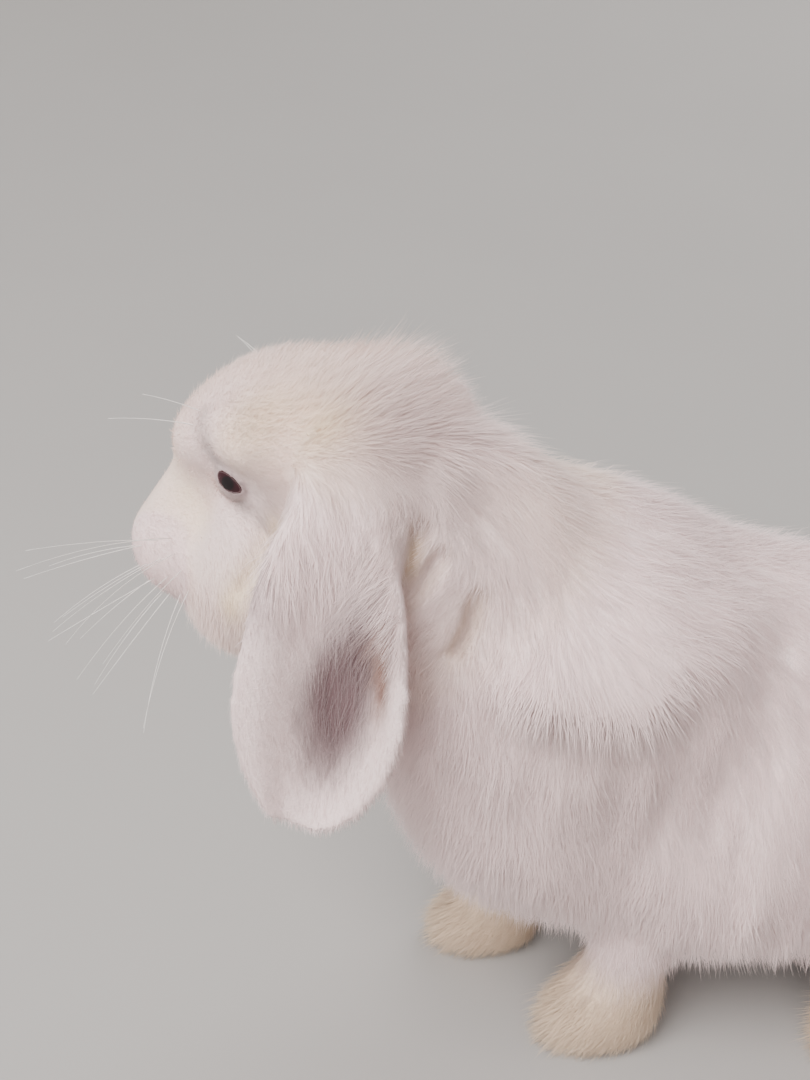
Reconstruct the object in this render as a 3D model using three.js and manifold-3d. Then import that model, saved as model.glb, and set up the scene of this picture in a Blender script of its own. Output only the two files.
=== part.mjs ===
// A white lop rabbit at life size, propped on its forelegs with its head turned to its right.
//
// Millimetres, +Z up. The rabbit's body faces -Y and its left side is +X. It is modelled with the
// floor at z = 0 and the point midway between its forefeet near x = y = 0, and the whole model is then
// shifted so that the origin is the middle of the floor under the box that it fills.
//
// The flesh is a set of rounded masses that melt into one another: field functions that are negative
// inside and zero on the surface, out to the tips of the coat. A piece is a sphere whose points are
// pushed out along their rays until they meet that surface, parted from its neighbours by thin cuts.

import * as THREE from "three";
import { mergeVertices } from "three/addons/utils/BufferGeometryUtils.js";
import Module from "manifold-3d";

const wasm = await Module();
wasm.setup();

// ---------------------------------------------------------------- driving dimensions

const GAP = 0.4; // between neighbouring pieces

const HEAD = {
  betweenEyes: [-18, -69, 185], // the point midway between the eyes
  yaw: 34, // degrees, turned to the rabbit's right
  pitch: 30, // degrees, nose below the horizon
};

// In the head's own frame: out to the side, up from the face and forward along the nose.
const EYE = { radius: 7.8, out: 18.2, up: 0, forward: 1 };
const NOSE = { up: -9.5, forward: 49, radii: [5.5, 5, 5.5] };
const PAD = { out: 9.5, up: -13.5, forward: 38.5, radii: [11, 12.5, 13] };
const PAD_PARTING = { out: 13.5, up: -14.5 }; // the middle of the ball that parts a pad from the face
const WHISKER = { length: 44, rootRadius: 0.5, tipRadius: 0.36, droop: 4, sides: 4, rings: 3 };
const WHISKER_ROOTS = { out: 4, up: 9, forward: 3 }; // how far the roots spread over a pad
const WHISKER_AIMS = [[0.7, 0.55, 0.5], [0.8, 0.3, 0.5], [0.86, 0.05, 0.48], [0.82, -0.25, 0.45]];

const EAR = { width: 44, rootLength: 76, tipLength: 46, thickness: 6, cup: 8, narrowing: 0.45 };
const LEFT_EAR = {
  line: [[6, -58, 203], [25, -61, 190], [36, -67, 143], [31, -78, 100]],
  open: [0.9, -0.43, 0], // where its hollow faces
};
const RIGHT_EAR = {
  line: [[-26, -31, 195], [-48, -24, 183], [-64, -16, 144], [-65, -14, 98]],
  open: [-0.96, -0.28, 0],
};

const FORE_LEFT = [26, 18]; // the middle of each forefoot on the floor
const FORE_RIGHT = [-20, -5];
const FOREFOOT = { length: 38, width: 28, height: 18, middle: 8, ankle: 24 };
const ELBOW = { splay: 1.15, back: 8, z: 70, radius: 18 };
const WRIST = { back: 4, z: 14, radius: 12.5 };
const HIND_FOOT = { x: 50, toe: 82, heel: 180, width: 27, height: 16, heelWidth: 23, toeLength: 12 };
const THIGH = { x: 48, y: 124, z: 58, radii: [28, 50, 50] };
const THIGH_PARTING = { x: 55, z: 54 }; // the middle of the ball that parts a thigh from the trunk
const TAIL = { y: 213, z: 47, radii: [18, 15, 27] };

// The sides around each piece and the rings along it, more where its form turns faster.
const FACETS = {
  head: { sides: 25, rings: 20 },
  neck: { sides: 28, rings: 16 },
  trunk: { sides: 28, rings: 24 },
  thigh: { sides: 16, rings: 10 },
  ear: { sides: 18, rings: 14 },
  foreleg: { sides: 16, rings: 16 },
  hindFoot: { sides: 12, rings: 14 },
  tail: { sides: 14, rings: 10 },
  eye: { sides: 12, rings: 9 },
  muzzle: { sides: 10, rings: 8 },
};

// ---------------------------------------------------------------- masses and how they melt together

const vec = (x, y, z) => new THREE.Vector3(x, y, z);
const rad = THREE.MathUtils.degToRad;
const world = new THREE.Matrix4();
const both = (make) => [make(1), make(-1)]; // the rabbit's left and right

// The smaller of two distances, rounded off over a width k where they meet.
function soften(a, b, k) {
  const h = Math.max(k - Math.abs(a - b), 0) / k;
  return Math.min(a, b) - (h * h * k) / 4;
}

const melt = (k, ...fields) => (p) => fields.map((f) => f(p)).reduce((a, b) => soften(a, b, k));
const grown = (field, by) => (p) => field(p) - by;

// An ellipsoid with half-axes `radii` at `centre` of a frame.
function mass(centre, radii, frame = world) {
  const inverse = frame.clone().multiply(new THREE.Matrix4().setPosition(...centre)).invert();
  const [rx, ry, rz] = radii;
  const q = vec();
  return (p) => {
    q.copy(p).applyMatrix4(inverse);
    const near = Math.hypot(q.x / rx, q.y / ry, q.z / rz);
    const steep = Math.hypot(q.x / (rx * rx), q.y / (ry * ry), q.z / (rz * rz));
    return steep < 1e-9 ? -Math.min(rx, ry, rz) : (near * (near - 1)) / steep;
  };
}

// A round limb from a to b that tapers from radius ra to rb.
function limb(a, b, ra, rb, frame = world) {
  const from = vec(...a).applyMatrix4(frame);
  const along = vec(...b).applyMatrix4(frame).sub(from);
  const q = vec();
  return (p) => {
    q.copy(p).sub(from);
    const t = THREE.MathUtils.clamp(q.dot(along) / along.lengthSq(), 0, 1);
    return q.addScaledVector(along, -t).length() - ra - (rb - ra) * t;
  };
}

// ---------------------------------------------------------------- from field to solid

function solid(geometry) {
  const bare = geometry.clone();
  bare.deleteAttribute("normal");
  bare.deleteAttribute("uv");
  const merged = mergeVertices(bare, 1e-3);
  const vertProperties = new Float32Array(merged.attributes.position.array);
  const triVerts = new Uint32Array(merged.index.array);
  return new wasm.Manifold(new wasm.Mesh({ numProp: 3, vertProperties, triVerts }));
}

const HALVINGS = 14; // of a 1 mm step, which finds the surface to well under a micron

// How far from a point inside a field its surface lies along a ray.
function reachOf(field, from, ray) {
  const p = vec();
  let inside = 0;
  let outside = 1;
  while (field(p.copy(from).addScaledVector(ray, outside)) < 0) {
    inside = outside;
    outside += 1;
  }
  for (let halving = 0; halving < HALVINGS; halving++) {
    const middle = (inside + outside) / 2;
    if (field(p.copy(from).addScaledVector(ray, middle)) < 0) inside = middle;
    else outside = middle;
  }
  return outside;
}

// A sphere of `sides` by `rings` whose points are pushed out from `centre` to the field's surface.
// Its poles lie along `pole`, and `spread` stretches its rays so that a long piece gets even rings.
function wrap(field, { centre, pole, spread = [1, 1, 1], facets }) {
  const sphere = new THREE.SphereGeometry(1, facets.sides, facets.rings);
  const turn = new THREE.Quaternion().setFromUnitVectors(vec(0, 1, 0), vec(...pole).normalize());
  const from = vec(...centre);
  const ray = vec();
  const place = sphere.attributes.position;
  for (let i = 0; i < place.count; i++) {
    ray.fromBufferAttribute(place, i).applyQuaternion(turn).multiply(vec(...spread)).normalize();
    const far = reachOf(field, from, ray);
    place.setXYZ(i, from.x + ray.x * far, from.y + ray.y * far, from.z + ray.z * far);
  }
  return solid(sphere);
}

// A plain ellipsoid with half-axes `radii`, each longer by `gap`.
function ball(centre, radii, { facets, frame = world, gap = 0 }) {
  const sphere = new THREE.SphereGeometry(1, facets.sides, facets.rings);
  sphere.scale(...radii.map((r) => r + gap)).translate(...centre).applyMatrix4(frame);
  return solid(sphere);
}

const HALF_SPACE = 700; // the side of a block larger than the whole rabbit

// What lies on the inner side of a plane through `at` that faces `out`, half a gap short of it.
function trim(body, { at, out }) {
  const block = new THREE.BoxGeometry(HALF_SPACE, HALF_SPACE, HALF_SPACE);
  const turn = new THREE.Quaternion().setFromUnitVectors(vec(0, 0, 1), vec(...out).normalize());
  block.translate(0, 0, -HALF_SPACE / 2 - GAP / 2).applyQuaternion(turn).translate(...at);
  return body.intersect(solid(block));
}

const facing = ({ at, out }) => ({ at, out: out.map((n) => -n) }); // the same plane from its other side
const onFloor = (body) => trim(body, { at: [0, 0, -GAP / 2], out: [0, 0, -1] });

// ---------------------------------------------------------------- the head's own frame

// x to the rabbit's left, y up from the face, z forward along the nose.
function headFrame() {
  const yaw = rad(HEAD.yaw);
  const pitch = rad(HEAD.pitch);
  const left = vec(Math.cos(yaw), -Math.sin(yaw), 0);
  const ahead = vec(-Math.sin(yaw), -Math.cos(yaw), 0);
  const forward = ahead.multiplyScalar(Math.cos(pitch)).add(vec(0, 0, -Math.sin(pitch)));
  const up = forward.clone().cross(left);
  return new THREE.Matrix4().makeBasis(left, up, forward).setPosition(...HEAD.betweenEyes);
}
const head = headFrame();

// ---------------------------------------------------------------- the flesh

const skull = melt(
  8,
  mass([0, -2, -17], [27, 26, 30], head), // cranium
  mass([0, 6, 3], [20, 18, 21], head), // forehead
  limb([0, 5, 14], [0, -5, 38], 14.5, 10.5, head), // bridge of the nose
  limb([0, -30, 33], [0, -29, -8], 13.5, 20, head), // jaw
  ...both((s) => mass([14 * s, -25, 8], [16, 21, 28], head)), // cheeks
  ...both((s) => mass([11 * s, -31, 25], [13, 14, 17], head)), // jowls
  ...both((s) => mass([18 * s, 11, -3], [7, 6, 13], head)), // brows
);
const muzzle = melt(
  4,
  ...both((s) => mass([PAD.out * s, PAD.up, PAD.forward], PAD.radii, head)),
  mass([0, NOSE.up, NOSE.forward - 2], NOSE.radii, head),
);
const crown = melt(
  10,
  mass([0, -5, -33], [33, 17, 15], head), // the broad fluffy band across the ears' roots
  mass([6, -33, 176], [34, 26, 26]), // nape
);
const throat = melt(12, limb([2, -4, 132], [6, -36, 166], 42, 36), mass([0, -26, 118], [36, 26, 38]));
const torso = melt(
  12,
  mass([0, 8, 104], [53, 52, 68]), // rib cage
  mass([0, -12, 90], [38, 30, 39]), // breast
  limb([0, 8, 130], [0, 64, 113], 45, 38), // withers
  limb([0, 68, 109], [0, 132, 99], 36, 39), // back
  mass([0, 60, 82], [57, 66, 66]), // belly
  mass([0, 135, 74], [63, 62, 65]), // hips
  mass([0, 166, 62], [55, 43, 56]), // rump
  ...both((s) => mass([31 * s, 10, 130], [26, 42, 36])), // shoulder blades
  ...both((s) => mass([36 * s, 46, 72], [22, 34, 34])), // elbows
);
const thighs = both((s) => mass([THIGH.x * s, THIGH.y, THIGH.z], THIGH.radii));
const flesh = melt(9, melt(14, torso, throat, ...thighs), melt(9, crown, melt(6, skull, muzzle)));

// ---------------------------------------------------------------- where the body is parted

const HEAD_CUT = { at: [8, -36, 186], out: [0.5, 0.7, -0.42] }; // between head and neck, facing the tail
const NECK_CUT = { at: [4, -6, 158], out: [0.1, 0.62, -0.78] }; // between neck and trunk

const headWrap = { centre: [-8, -56, 180], pole: [-0.48, -0.72, -0.5], facets: FACETS.head };
const neckWrap = { centre: [2, -26, 166], pole: [0, -0.6, 0.8], facets: FACETS.neck };
const trunkWrap = {
  centre: [0, 72, 88],
  pole: [0, 1, -0.5],
  spread: [60, 95, 62],
  facets: FACETS.trunk,
};

function eyeball(s, gap) {
  const radii = Array(3).fill(EYE.radius);
  return ball([EYE.out * s, EYE.up, EYE.forward], radii, { facets: FACETS.eye, frame: head, gap });
}

function noseRegion(gap) {
  return ball([0, NOSE.up, NOSE.forward], NOSE.radii, { facets: FACETS.muzzle, frame: head, gap });
}

function padRegion(s, gap) {
  const centre = [PAD_PARTING.out * s, PAD_PARTING.up, PAD.forward];
  return ball(centre, PAD.radii, { facets: FACETS.muzzle, frame: head, gap });
}

function thighRegion(s, gap) {
  const centre = [THIGH_PARTING.x * s, THIGH.y, THIGH_PARTING.z];
  return ball(centre, THIGH.radii, { facets: FACETS.thigh, gap });
}

// ---------------------------------------------------------------- whiskers

// One thin tapering hair that springs from a pad and bends down along its length.
function whisker(s, aim) {
  const { length, rootRadius, tipRadius, droop, sides, rings } = WHISKER;
  const [out, up, forward] = aim;
  const direction = vec(out * s, up, forward).normalize();
  const hair = new THREE.CylinderGeometry(tipRadius, rootRadius, length, sides, rings);
  hair.translate(0, length / 2, 0);
  hair.applyQuaternion(new THREE.Quaternion().setFromUnitVectors(vec(0, 1, 0), direction));
  const place = hair.attributes.position;
  for (let i = 0; i < place.count; i++) {
    const far = vec().fromBufferAttribute(place, i).length() / length;
    place.setY(i, place.getY(i) - droop * far * far);
  }
  const root = vec(
    (PAD.out + WHISKER_ROOTS.out * out) * s,
    PAD.up + WHISKER_ROOTS.up * up,
    PAD.forward + WHISKER_ROOTS.forward * forward,
  );
  return solid(hair.translate(root.x, root.y, root.z).applyMatrix4(head));
}

// ---------------------------------------------------------------- ears

const CUP_DEPTH = 0.4; // how far the middle sinks, as a share of the rims' rise

// An egg-shaped leaf along a line from root to tip, cupped about that line, its hollow facing `open`.
function ear({ line, open }) {
  const middle = new THREE.CatmullRomCurve3(line.map((p) => vec(...p)));
  const length = EAR.rootLength + EAR.tipLength;
  const leaf = new THREE.SphereGeometry(1, FACETS.ear.sides, FACETS.ear.rings);
  const place = leaf.attributes.position;
  const point = vec();
  for (let i = 0; i < place.count; i++) {
    point.fromBufferAttribute(place, i);
    const along = point.y * (point.y > 0 ? EAR.rootLength : EAR.tipLength);
    const t = THREE.MathUtils.clamp((EAR.rootLength - along) / length, 0, 1);
    const tangent = middle.getTangentAt(t);
    const out = vec(...open);
    out.addScaledVector(tangent, -tangent.dot(out)).normalize();
    const side = out.clone().cross(tangent);
    const across = point.x * (1 - EAR.narrowing * Math.max(point.y, 0));
    const through = Math.sign(point.z) * Math.sqrt(Math.abs(point.z)) * (EAR.thickness / 2);
    const cupped = EAR.cup * (across * across - CUP_DEPTH * (1 - point.y * point.y));
    middle.getPointAt(t, point);
    point.addScaledVector(side, across * (EAR.width / 2)).addScaledVector(out, through + cupped);
    place.setXYZ(i, point.x, point.y, point.z);
  }
  return solid(leaf);
}

// ---------------------------------------------------------------- limbs

// Forearm, wrist and paw in one, its sole cut flat on the floor.
function foreleg([x, y]) {
  const elbow = [x * ELBOW.splay, y + ELBOW.back, ELBOW.z];
  const wrist = [x, y + WRIST.back, WRIST.z];
  const shin = limb(elbow, wrist, ELBOW.radius, WRIST.radius);
  const pawRadii = [FOREFOOT.width / 2, FOREFOOT.length / 2, FOREFOOT.height];
  const paw = mass([x, y - 2, FOREFOOT.middle], pawRadii);
  const centre = [x, y + WRIST.back, (ELBOW.z + WRIST.z) / 3];
  const shape = { centre, pole: [0, 0, 1], spread: [1, 1, 2], facets: FACETS.foreleg };
  return onFloor(wrap(melt(8, shin, paw), shape));
}

// The long flat foot from heel to toes.
function hindFoot(s) {
  const { toe, heel, width, height, heelWidth, toeLength } = HIND_FOOT;
  const x = HIND_FOOT.x * s;
  const r = width / 2;
  const middle = height / 2 - 1;
  const sole = limb([x, heel - r, middle], [x, toe + r, middle], heelWidth / 2, r);
  const toes = mass([x, toe + r + toeLength / 2, middle], [r, r + toeLength / 2, height]);
  const centre = [x, (toe + heel) / 2, middle];
  const shape = { centre, pole: [0, 1, 0], spread: [1, 3, 1], facets: FACETS.hindFoot };
  return onFloor(wrap(melt(10, sole, toes), shape));
}

// ---------------------------------------------------------------- colours

const finish = (color, roughness) => new THREE.MeshStandardMaterial({ color, roughness, metalness: 0 });
const COAT = finish(0xece5e1, 0.95);
const CREAM = finish(0xe6d9cb, 0.95);
const EAR_SKIN = finish(0xd8cac6, 0.9);
const EYE_DARK = finish(0x2a1418, 0.12);
const NOSE_PINK = finish(0xd7a9a0, 0.6);

// ---------------------------------------------------------------- the pieces

const rabbit = new THREE.Group();

function add(name, body, material) {
  const { vertProperties, triVerts } = body.getMesh();
  const geometry = new THREE.BufferGeometry();
  geometry.setAttribute("position", new THREE.BufferAttribute(vertProperties, 3));
  geometry.setIndex(new THREE.BufferAttribute(triVerts, 1));
  geometry.computeVertexNormals();
  const mesh = new THREE.Mesh(geometry, material);
  mesh.name = name;
  rabbit.add(mesh);
}

const SIDES = [
  { s: 1, side: "left", fore: FORE_LEFT, leaf: LEFT_EAR },
  { s: -1, side: "right", fore: FORE_RIGHT, leaf: RIGHT_EAR },
];

const wholeTail = ball([0, TAIL.y, TAIL.z], TAIL.radii, { facets: FACETS.tail });
const wholeHead = trim(wrap(flesh, headWrap), HEAD_CUT);
const aroundHead = wrap(grown(flesh, GAP), headWrap);
const aroundNeck = wrap(grown(flesh, GAP), neckWrap);
const wholeTrunk = onFloor(wrap(flesh, trunkWrap));
const aroundTrunk = onFloor(wrap(grown(flesh, GAP), trunkWrap));
const nose = wholeHead.intersect(noseRegion(0));

let face = wholeHead.subtract(noseRegion(GAP));
let trunk = trim(wholeTrunk, facing(NECK_CUT));
for (const { s } of SIDES) {
  face = face.subtract(eyeball(s, GAP)).subtract(padRegion(s, GAP));
  trunk = trunk.subtract(thighRegion(s, GAP));
}

add("head", face, COAT);
add("nose", nose, NOSE_PINK);
add("neck", trim(trim(wrap(flesh, neckWrap), facing(HEAD_CUT)), NECK_CUT), COAT);
add("trunk", trunk, COAT);
add("tail", wholeTail.subtract(aroundTrunk), COAT);

for (const { s, side, fore, leaf } of SIDES) {
  add(`eye_${side}`, eyeball(s, 0), EYE_DARK);
  let pad = wholeHead.intersect(padRegion(s, 0)).subtract(noseRegion(GAP));
  for (const aim of WHISKER_AIMS) pad = pad.add(whisker(s, aim));
  add(`whisker_pad_${side}`, pad, COAT);
  add(`ear_${side}`, ear(leaf).subtract(aroundHead).subtract(aroundNeck).subtract(aroundTrunk), EAR_SKIN);

  const leg = foreleg(fore).subtract(aroundTrunk);
  const ankle = { at: [...fore, FOREFOOT.ankle], out: [0, -0.25, 1] };
  add(`foreleg_${side}`, trim(leg, facing(ankle)), COAT);
  add(`forefoot_${side}`, trim(leg, ankle), CREAM);
  add(`thigh_${side}`, wholeTrunk.intersect(thighRegion(s, 0)), COAT);
  add(`hind_foot_${side}`, hindFoot(s).subtract(aroundTrunk), CREAM);
}

// ---------------------------------------------------------------- the model

const box = new THREE.Box3().setFromObject(rabbit);
rabbit.position.set(-(box.min.x + box.max.x) / 2, -(box.min.y + box.max.y) / 2, -box.min.z);

export default rabbit;
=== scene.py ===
"""The looks of a white lop rabbit at life size.

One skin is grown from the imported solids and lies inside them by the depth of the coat. Eyes, lids,
nose, claws and whiskers are pieces of their own, and the coat is solid tufts that lie along the body.
Lengths are in metres, except where a comment or docstring says millimetres.
"""

import math
from contextlib import contextmanager

import bmesh
import bpy
import numpy as np
from mathutils import Matrix, Vector
from mathutils.bvhtree import BVHTree
from mathutils.kdtree import KDTree


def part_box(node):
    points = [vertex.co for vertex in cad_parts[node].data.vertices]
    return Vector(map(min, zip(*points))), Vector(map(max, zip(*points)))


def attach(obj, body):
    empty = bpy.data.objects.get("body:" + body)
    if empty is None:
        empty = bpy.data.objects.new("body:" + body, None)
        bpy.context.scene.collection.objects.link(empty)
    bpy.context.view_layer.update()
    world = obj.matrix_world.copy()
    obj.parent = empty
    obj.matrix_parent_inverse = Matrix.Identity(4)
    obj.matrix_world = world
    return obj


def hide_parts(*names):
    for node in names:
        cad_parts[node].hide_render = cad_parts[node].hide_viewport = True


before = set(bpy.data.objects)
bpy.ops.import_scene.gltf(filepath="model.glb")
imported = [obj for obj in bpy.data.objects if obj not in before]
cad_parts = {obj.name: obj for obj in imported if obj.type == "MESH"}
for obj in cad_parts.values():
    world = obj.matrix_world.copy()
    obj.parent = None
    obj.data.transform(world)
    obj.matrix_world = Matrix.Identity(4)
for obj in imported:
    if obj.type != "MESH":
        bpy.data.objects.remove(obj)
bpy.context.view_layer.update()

MM = 0.001
SEED = 11
WORLD_UP = np.array([0.0, 0.0, 1.0])
NODES = sorted(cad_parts)
EYES = ("eye_left", "eye_right")
EARS = ("ear_left", "ear_right")

# ---------------------------------------------------------------- camera

CAMERA = {"place": (0.2923, -0.1435, 0.312), "heading": (-0.978, 0.208), "pitch": 27, "lens": 41.67}


def make_camera():
    camera = bpy.data.objects.new("camera", bpy.data.cameras.new("camera"))
    bpy.context.scene.collection.objects.link(camera)
    bpy.context.scene.camera = camera
    pitch = math.radians(CAMERA["pitch"])
    ahead = Vector((*CAMERA["heading"], 0)).normalized() * math.cos(pitch)
    camera.location = CAMERA["place"]
    camera.rotation_mode = "QUATERNION"
    camera.rotation_quaternion = (ahead - Vector((0, 0, math.sin(pitch)))).to_track_quat("-Z", "Y")
    camera.data.lens = CAMERA["lens"]
    camera.data.clip_start = 0.01


# ---------------------------------------------------------------- arrays


def unit(rows):
    return rows / np.maximum(np.linalg.norm(rows, axis=-1, keepdims=True), 1e-12)


def ramp(low, high, values):
    """0 below low, 1 above high and a smooth rise between them; it falls where high is the smaller."""
    t = np.clip((values - low) / (high - low), 0, 1)
    return t * t * (3 - 2 * t)


def facing(normals, directions, low=0.0, high=0.5):
    """0 where a normal is square to the direction or turns its back on it, and 1 where it faces it."""
    return ramp(low, high, np.sum(normals * directions, axis=1))


def hump(values, width):
    """1 at 0, falling off to both sides, to 0.37 at the width."""
    return np.exp(-((values / width) ** 2))


HASH_PRIMES = (73856093, 19349663, 83492791, 2654435761, 1274126177)


def noise(points, size, seed):
    """Smooth random values from -1 to 1 that change over about `size`."""
    place = points / size + seed * 7.31
    cell = np.floor(place).astype(np.int64)
    part = place - cell
    part = part * part * (3 - 2 * part)
    total = np.zeros(len(points))
    for_x, for_y, for_z, for_seed, last = HASH_PRIMES
    for corner in np.ndindex(2, 2, 2):
        x, y, z = (cell + corner).T
        mixed = (x * for_x) ^ (y * for_y) ^ (z * for_z) ^ (seed * for_seed)
        mixed = (mixed ^ (mixed >> 13)) * last
        value = ((mixed >> 8) & 0xFFFF) / 0x7FFF - 1
        total += value * np.prod(np.where(corner, part, 1 - part), axis=1)
    return total


def beside_path(points, path):
    """The way from a line of straight stretches to each point, and how far along it lies, from 0 to 1."""
    path = np.array(path, float)
    best = np.full(len(points), np.inf)
    offset = np.zeros((len(points), path.shape[1]))
    along = np.zeros(len(points))
    for i, (a, b) in enumerate(zip(path, path[1:])):
        t = np.clip((points - a) @ (b - a) / ((b - a) @ (b - a)), 0, 1)
        way = points - a - t[:, None] * (b - a)
        away = np.linalg.norm(way, axis=1)
        nearer = away < best
        best[nearer] = away[nearer]
        offset[nearer] = way[nearer]
        along[nearer] = (i + t[nearer]) / (len(path) - 1)
    return offset, along


def near_path(points, path):
    """Each point's distance from a line of straight stretches, and how far along it lies, from 0 to 1."""
    offset, along = beside_path(points, path)
    return np.linalg.norm(offset, axis=1), along


def by_path(points, path, width):
    """1 on a path and 0 well beyond `width` from it; path and width are in millimetres."""
    return hump(near_path(points, np.array(path) * MM)[0], width * MM)


def by_place(points, place, reach):
    """1 at a place and 0 well beyond `reach` from it; both are in millimetres."""
    return hump(np.linalg.norm(points - np.array(place) * MM, axis=1), reach * MM)


# ---------------------------------------------------------------- meshes


def read(items, name, width, kind=np.float32):
    flat = np.empty(len(items) * width, kind)
    items.foreach_get(name, flat)
    return flat.reshape(-1, width) if width > 1 else flat


def points_of(mesh):
    return read(mesh.vertices, "co", 3).astype(float)


def normals_of(mesh):
    return read(mesh.vertex_normals, "vector", 3).astype(float)


def edges_of(mesh):
    return read(mesh.edges, "vertices", 2, np.int32)


def move_points(mesh, points):
    mesh.vertices.foreach_set("co", points.astype(np.float32).ravel())
    mesh.update()


def relax(values, edges, rounds, share=0.5):
    """Brings each point's values nearer to the mean of its neighbours'."""
    count = np.maximum(np.bincount(edges.ravel(), minlength=len(values)), 1)[:, None]
    both = np.concatenate([edges, edges[:, ::-1]])
    for _ in range(rounds):
        columns = [np.bincount(both[:, 0], column[both[:, 1]], len(values)) for column in values.T]
        values = values + share * (np.stack(columns, axis=1) / count - values)
    return values


def new_object(name, mesh):
    obj = bpy.data.objects.new(name, mesh)
    bpy.context.scene.collection.objects.link(obj)
    return obj


def add_values(mesh, name, values):
    mesh.attributes.new(name, "FLOAT", "POINT").data.foreach_set("value", values.astype(np.float32))


def add_colours(mesh, colours):
    rgba = np.concatenate([colours, np.ones((len(colours), 1))], axis=1).astype(np.float32)
    mesh.attributes.new("coat_colour", "FLOAT_COLOR", "POINT").data.foreach_set("color", rgba.ravel())


def add_piece(name, mesh, material, replaces=(), place=None):
    piece = new_object(name, mesh)
    mesh.materials.append(material)
    if place is not None:
        piece.matrix_world = place
    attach(piece, "root")
    if replaces:
        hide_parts(*replaces)
    return piece


def shade_smooth(mesh):
    mesh.polygons.foreach_set("use_smooth", [True] * len(mesh.polygons))


@contextmanager
def edited(mesh):
    """The mesh as a bmesh to edit, which goes back into the mesh at the end."""
    work = bmesh.new()
    work.from_mesh(mesh)
    yield work
    work.to_mesh(mesh)
    work.free()


def grid_mesh(name, grid, caps=False):
    """Quads between rows of points; each row closes on itself."""
    rows, columns = grid.shape[:2]
    faces = []
    for i in range(rows - 1):
        for j in range(columns):
            k = (j + 1) % columns
            faces.append((i * columns + j, i * columns + k, (i + 1) * columns + k, (i + 1) * columns + j))
    if caps:
        faces.append(tuple(range(columns - 1, -1, -1)))
        faces.append(tuple((rows - 1) * columns + j for j in range(columns)))
    mesh = bpy.data.meshes.new(name)
    mesh.from_pydata([tuple(p) for p in grid.reshape(-1, 3)], [], faces)
    mesh.update()
    shade_smooth(mesh)
    return mesh


def face_outward(mesh):
    """Welds doubled points, turns the faces outward and smooths the shading."""
    with edited(mesh) as work:
        bmesh.ops.remove_doubles(work, verts=work.verts, dist=1e-6)
        bmesh.ops.recalc_face_normals(work, faces=work.faces)
    shade_smooth(mesh)


def remeshed(mesh, voxel):
    """The closed outer surface of everything in the mesh, as even quads of side `voxel`."""
    rough = new_object("rough", mesh)
    modifier = rough.modifiers.new("voxels", "REMESH")
    modifier.mode = "VOXEL"
    modifier.voxel_size = voxel
    made = bpy.data.meshes.new_from_object(rough.evaluated_get(bpy.context.evaluated_depsgraph_get()))
    bpy.data.objects.remove(rough)
    return made


def joined(meshes):
    made = bpy.data.meshes.new("joined")
    with edited(made) as whole:
        for mesh in meshes:
            whole.from_mesh(mesh)
    return made


def tree_of(mesh):
    """The mesh's faces, for rays to be cast at."""
    faces = [tuple(f.vertices) for f in mesh.polygons]
    return BVHTree.FromPolygons([tuple(p) for p in points_of(mesh)], faces)


def keep_largest(mesh):
    """Deletes the bubbles that voxels leave inside a body."""
    edges = edges_of(mesh)
    label = np.arange(len(mesh.vertices))
    while True:
        low = np.minimum(label[edges[:, 0]], label[edges[:, 1]])
        new = label.copy()
        np.minimum.at(new, edges[:, 0], low)
        np.minimum.at(new, edges[:, 1], low)
        new = new[new]
        if np.array_equal(new, label):
            break
        label = new
    largest = np.bincount(label).argmax()
    with edited(mesh) as whole:
        stray = [v for v, own in zip(whole.verts, label) if own != largest]
        bmesh.ops.delete(whole, geom=stray, context="VERTS")


# ---------------------------------------------------------------- the head's own frame


def middle_of(node):
    low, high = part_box(node)
    return np.array((low + high) / 2)


HEAD_PITCH = math.radians(30)  # the nose points this far below the horizon
HEAD_MIDDLE = (middle_of("eye_left") + middle_of("eye_right")) / 2
HEAD_LEFT = unit(middle_of("eye_left") - middle_of("eye_right"))
HEAD_AHEAD = unit(np.cross(HEAD_LEFT, WORLD_UP))
HEAD_FORWARD = HEAD_AHEAD * math.cos(HEAD_PITCH) - WORLD_UP * math.sin(HEAD_PITCH)
HEAD_UP = np.cross(HEAD_FORWARD, HEAD_LEFT)
HEAD_AXES = np.stack([HEAD_LEFT, HEAD_UP, HEAD_FORWARD])


def in_head(points):
    """To the rabbit's left, up from the face and forward along the nose, from between the eyes."""
    return (points - HEAD_MIDDLE) @ HEAD_AXES.T


def from_head(places):
    return HEAD_MIDDLE + np.asarray(places, float) @ HEAD_AXES


# ---------------------------------------------------------------- skin

SKIN_VOXEL = 1.3 * MM
CLOSE = 0.5 * MM  # each solid grows by this, so that the thin cuts between them close
PAD_MIDDLE = np.array([13.5, -14.5, 38.5]) * MM  # in the head's frame, on its left
PAD_REACH = 14 * MM

# How far the skin lies below the tips of the coat.
DEPTH = {
    "head": 1.6, "nose": 0.6, "neck": 4.0, "trunk": 3.8, "tail": 4, "whisker_pad": 0.8, "ear": 0.4,
    "foreleg": 2.5, "forefoot": 1.2, "thigh": 3.8, "hind_foot": 1.2,
}  # fmt: skip
REGIONS = sorted(DEPTH)
CROWN_DEPTH = 4.5 * MM  # more than the face
SOFT_REGIONS = ("trunk", "neck", "thigh")
FACE_MIDDLE = np.array([0, -10, 20]) * MM  # in the head's frame; around it the skin is finer
FACE_REACH = 44 * MM
LIPS_REACH = 4 * MM  # around lips and lids it is finer still
LIDS_REACH = 2.2  # shares of the eye's opening
ROUNDS = {"borders": 14, "depth": 20, "fine": 10, "broad": 50, "lost": 25, "drawn": 4, "voxels": 3,
          "regions": 6, "refined": 4, "root": 220, "lie": 40}  # of smoothing  # fmt: skip


def region_of(node):
    return REGIONS.index(node.removesuffix("_left").removesuffix("_right"))


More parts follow.
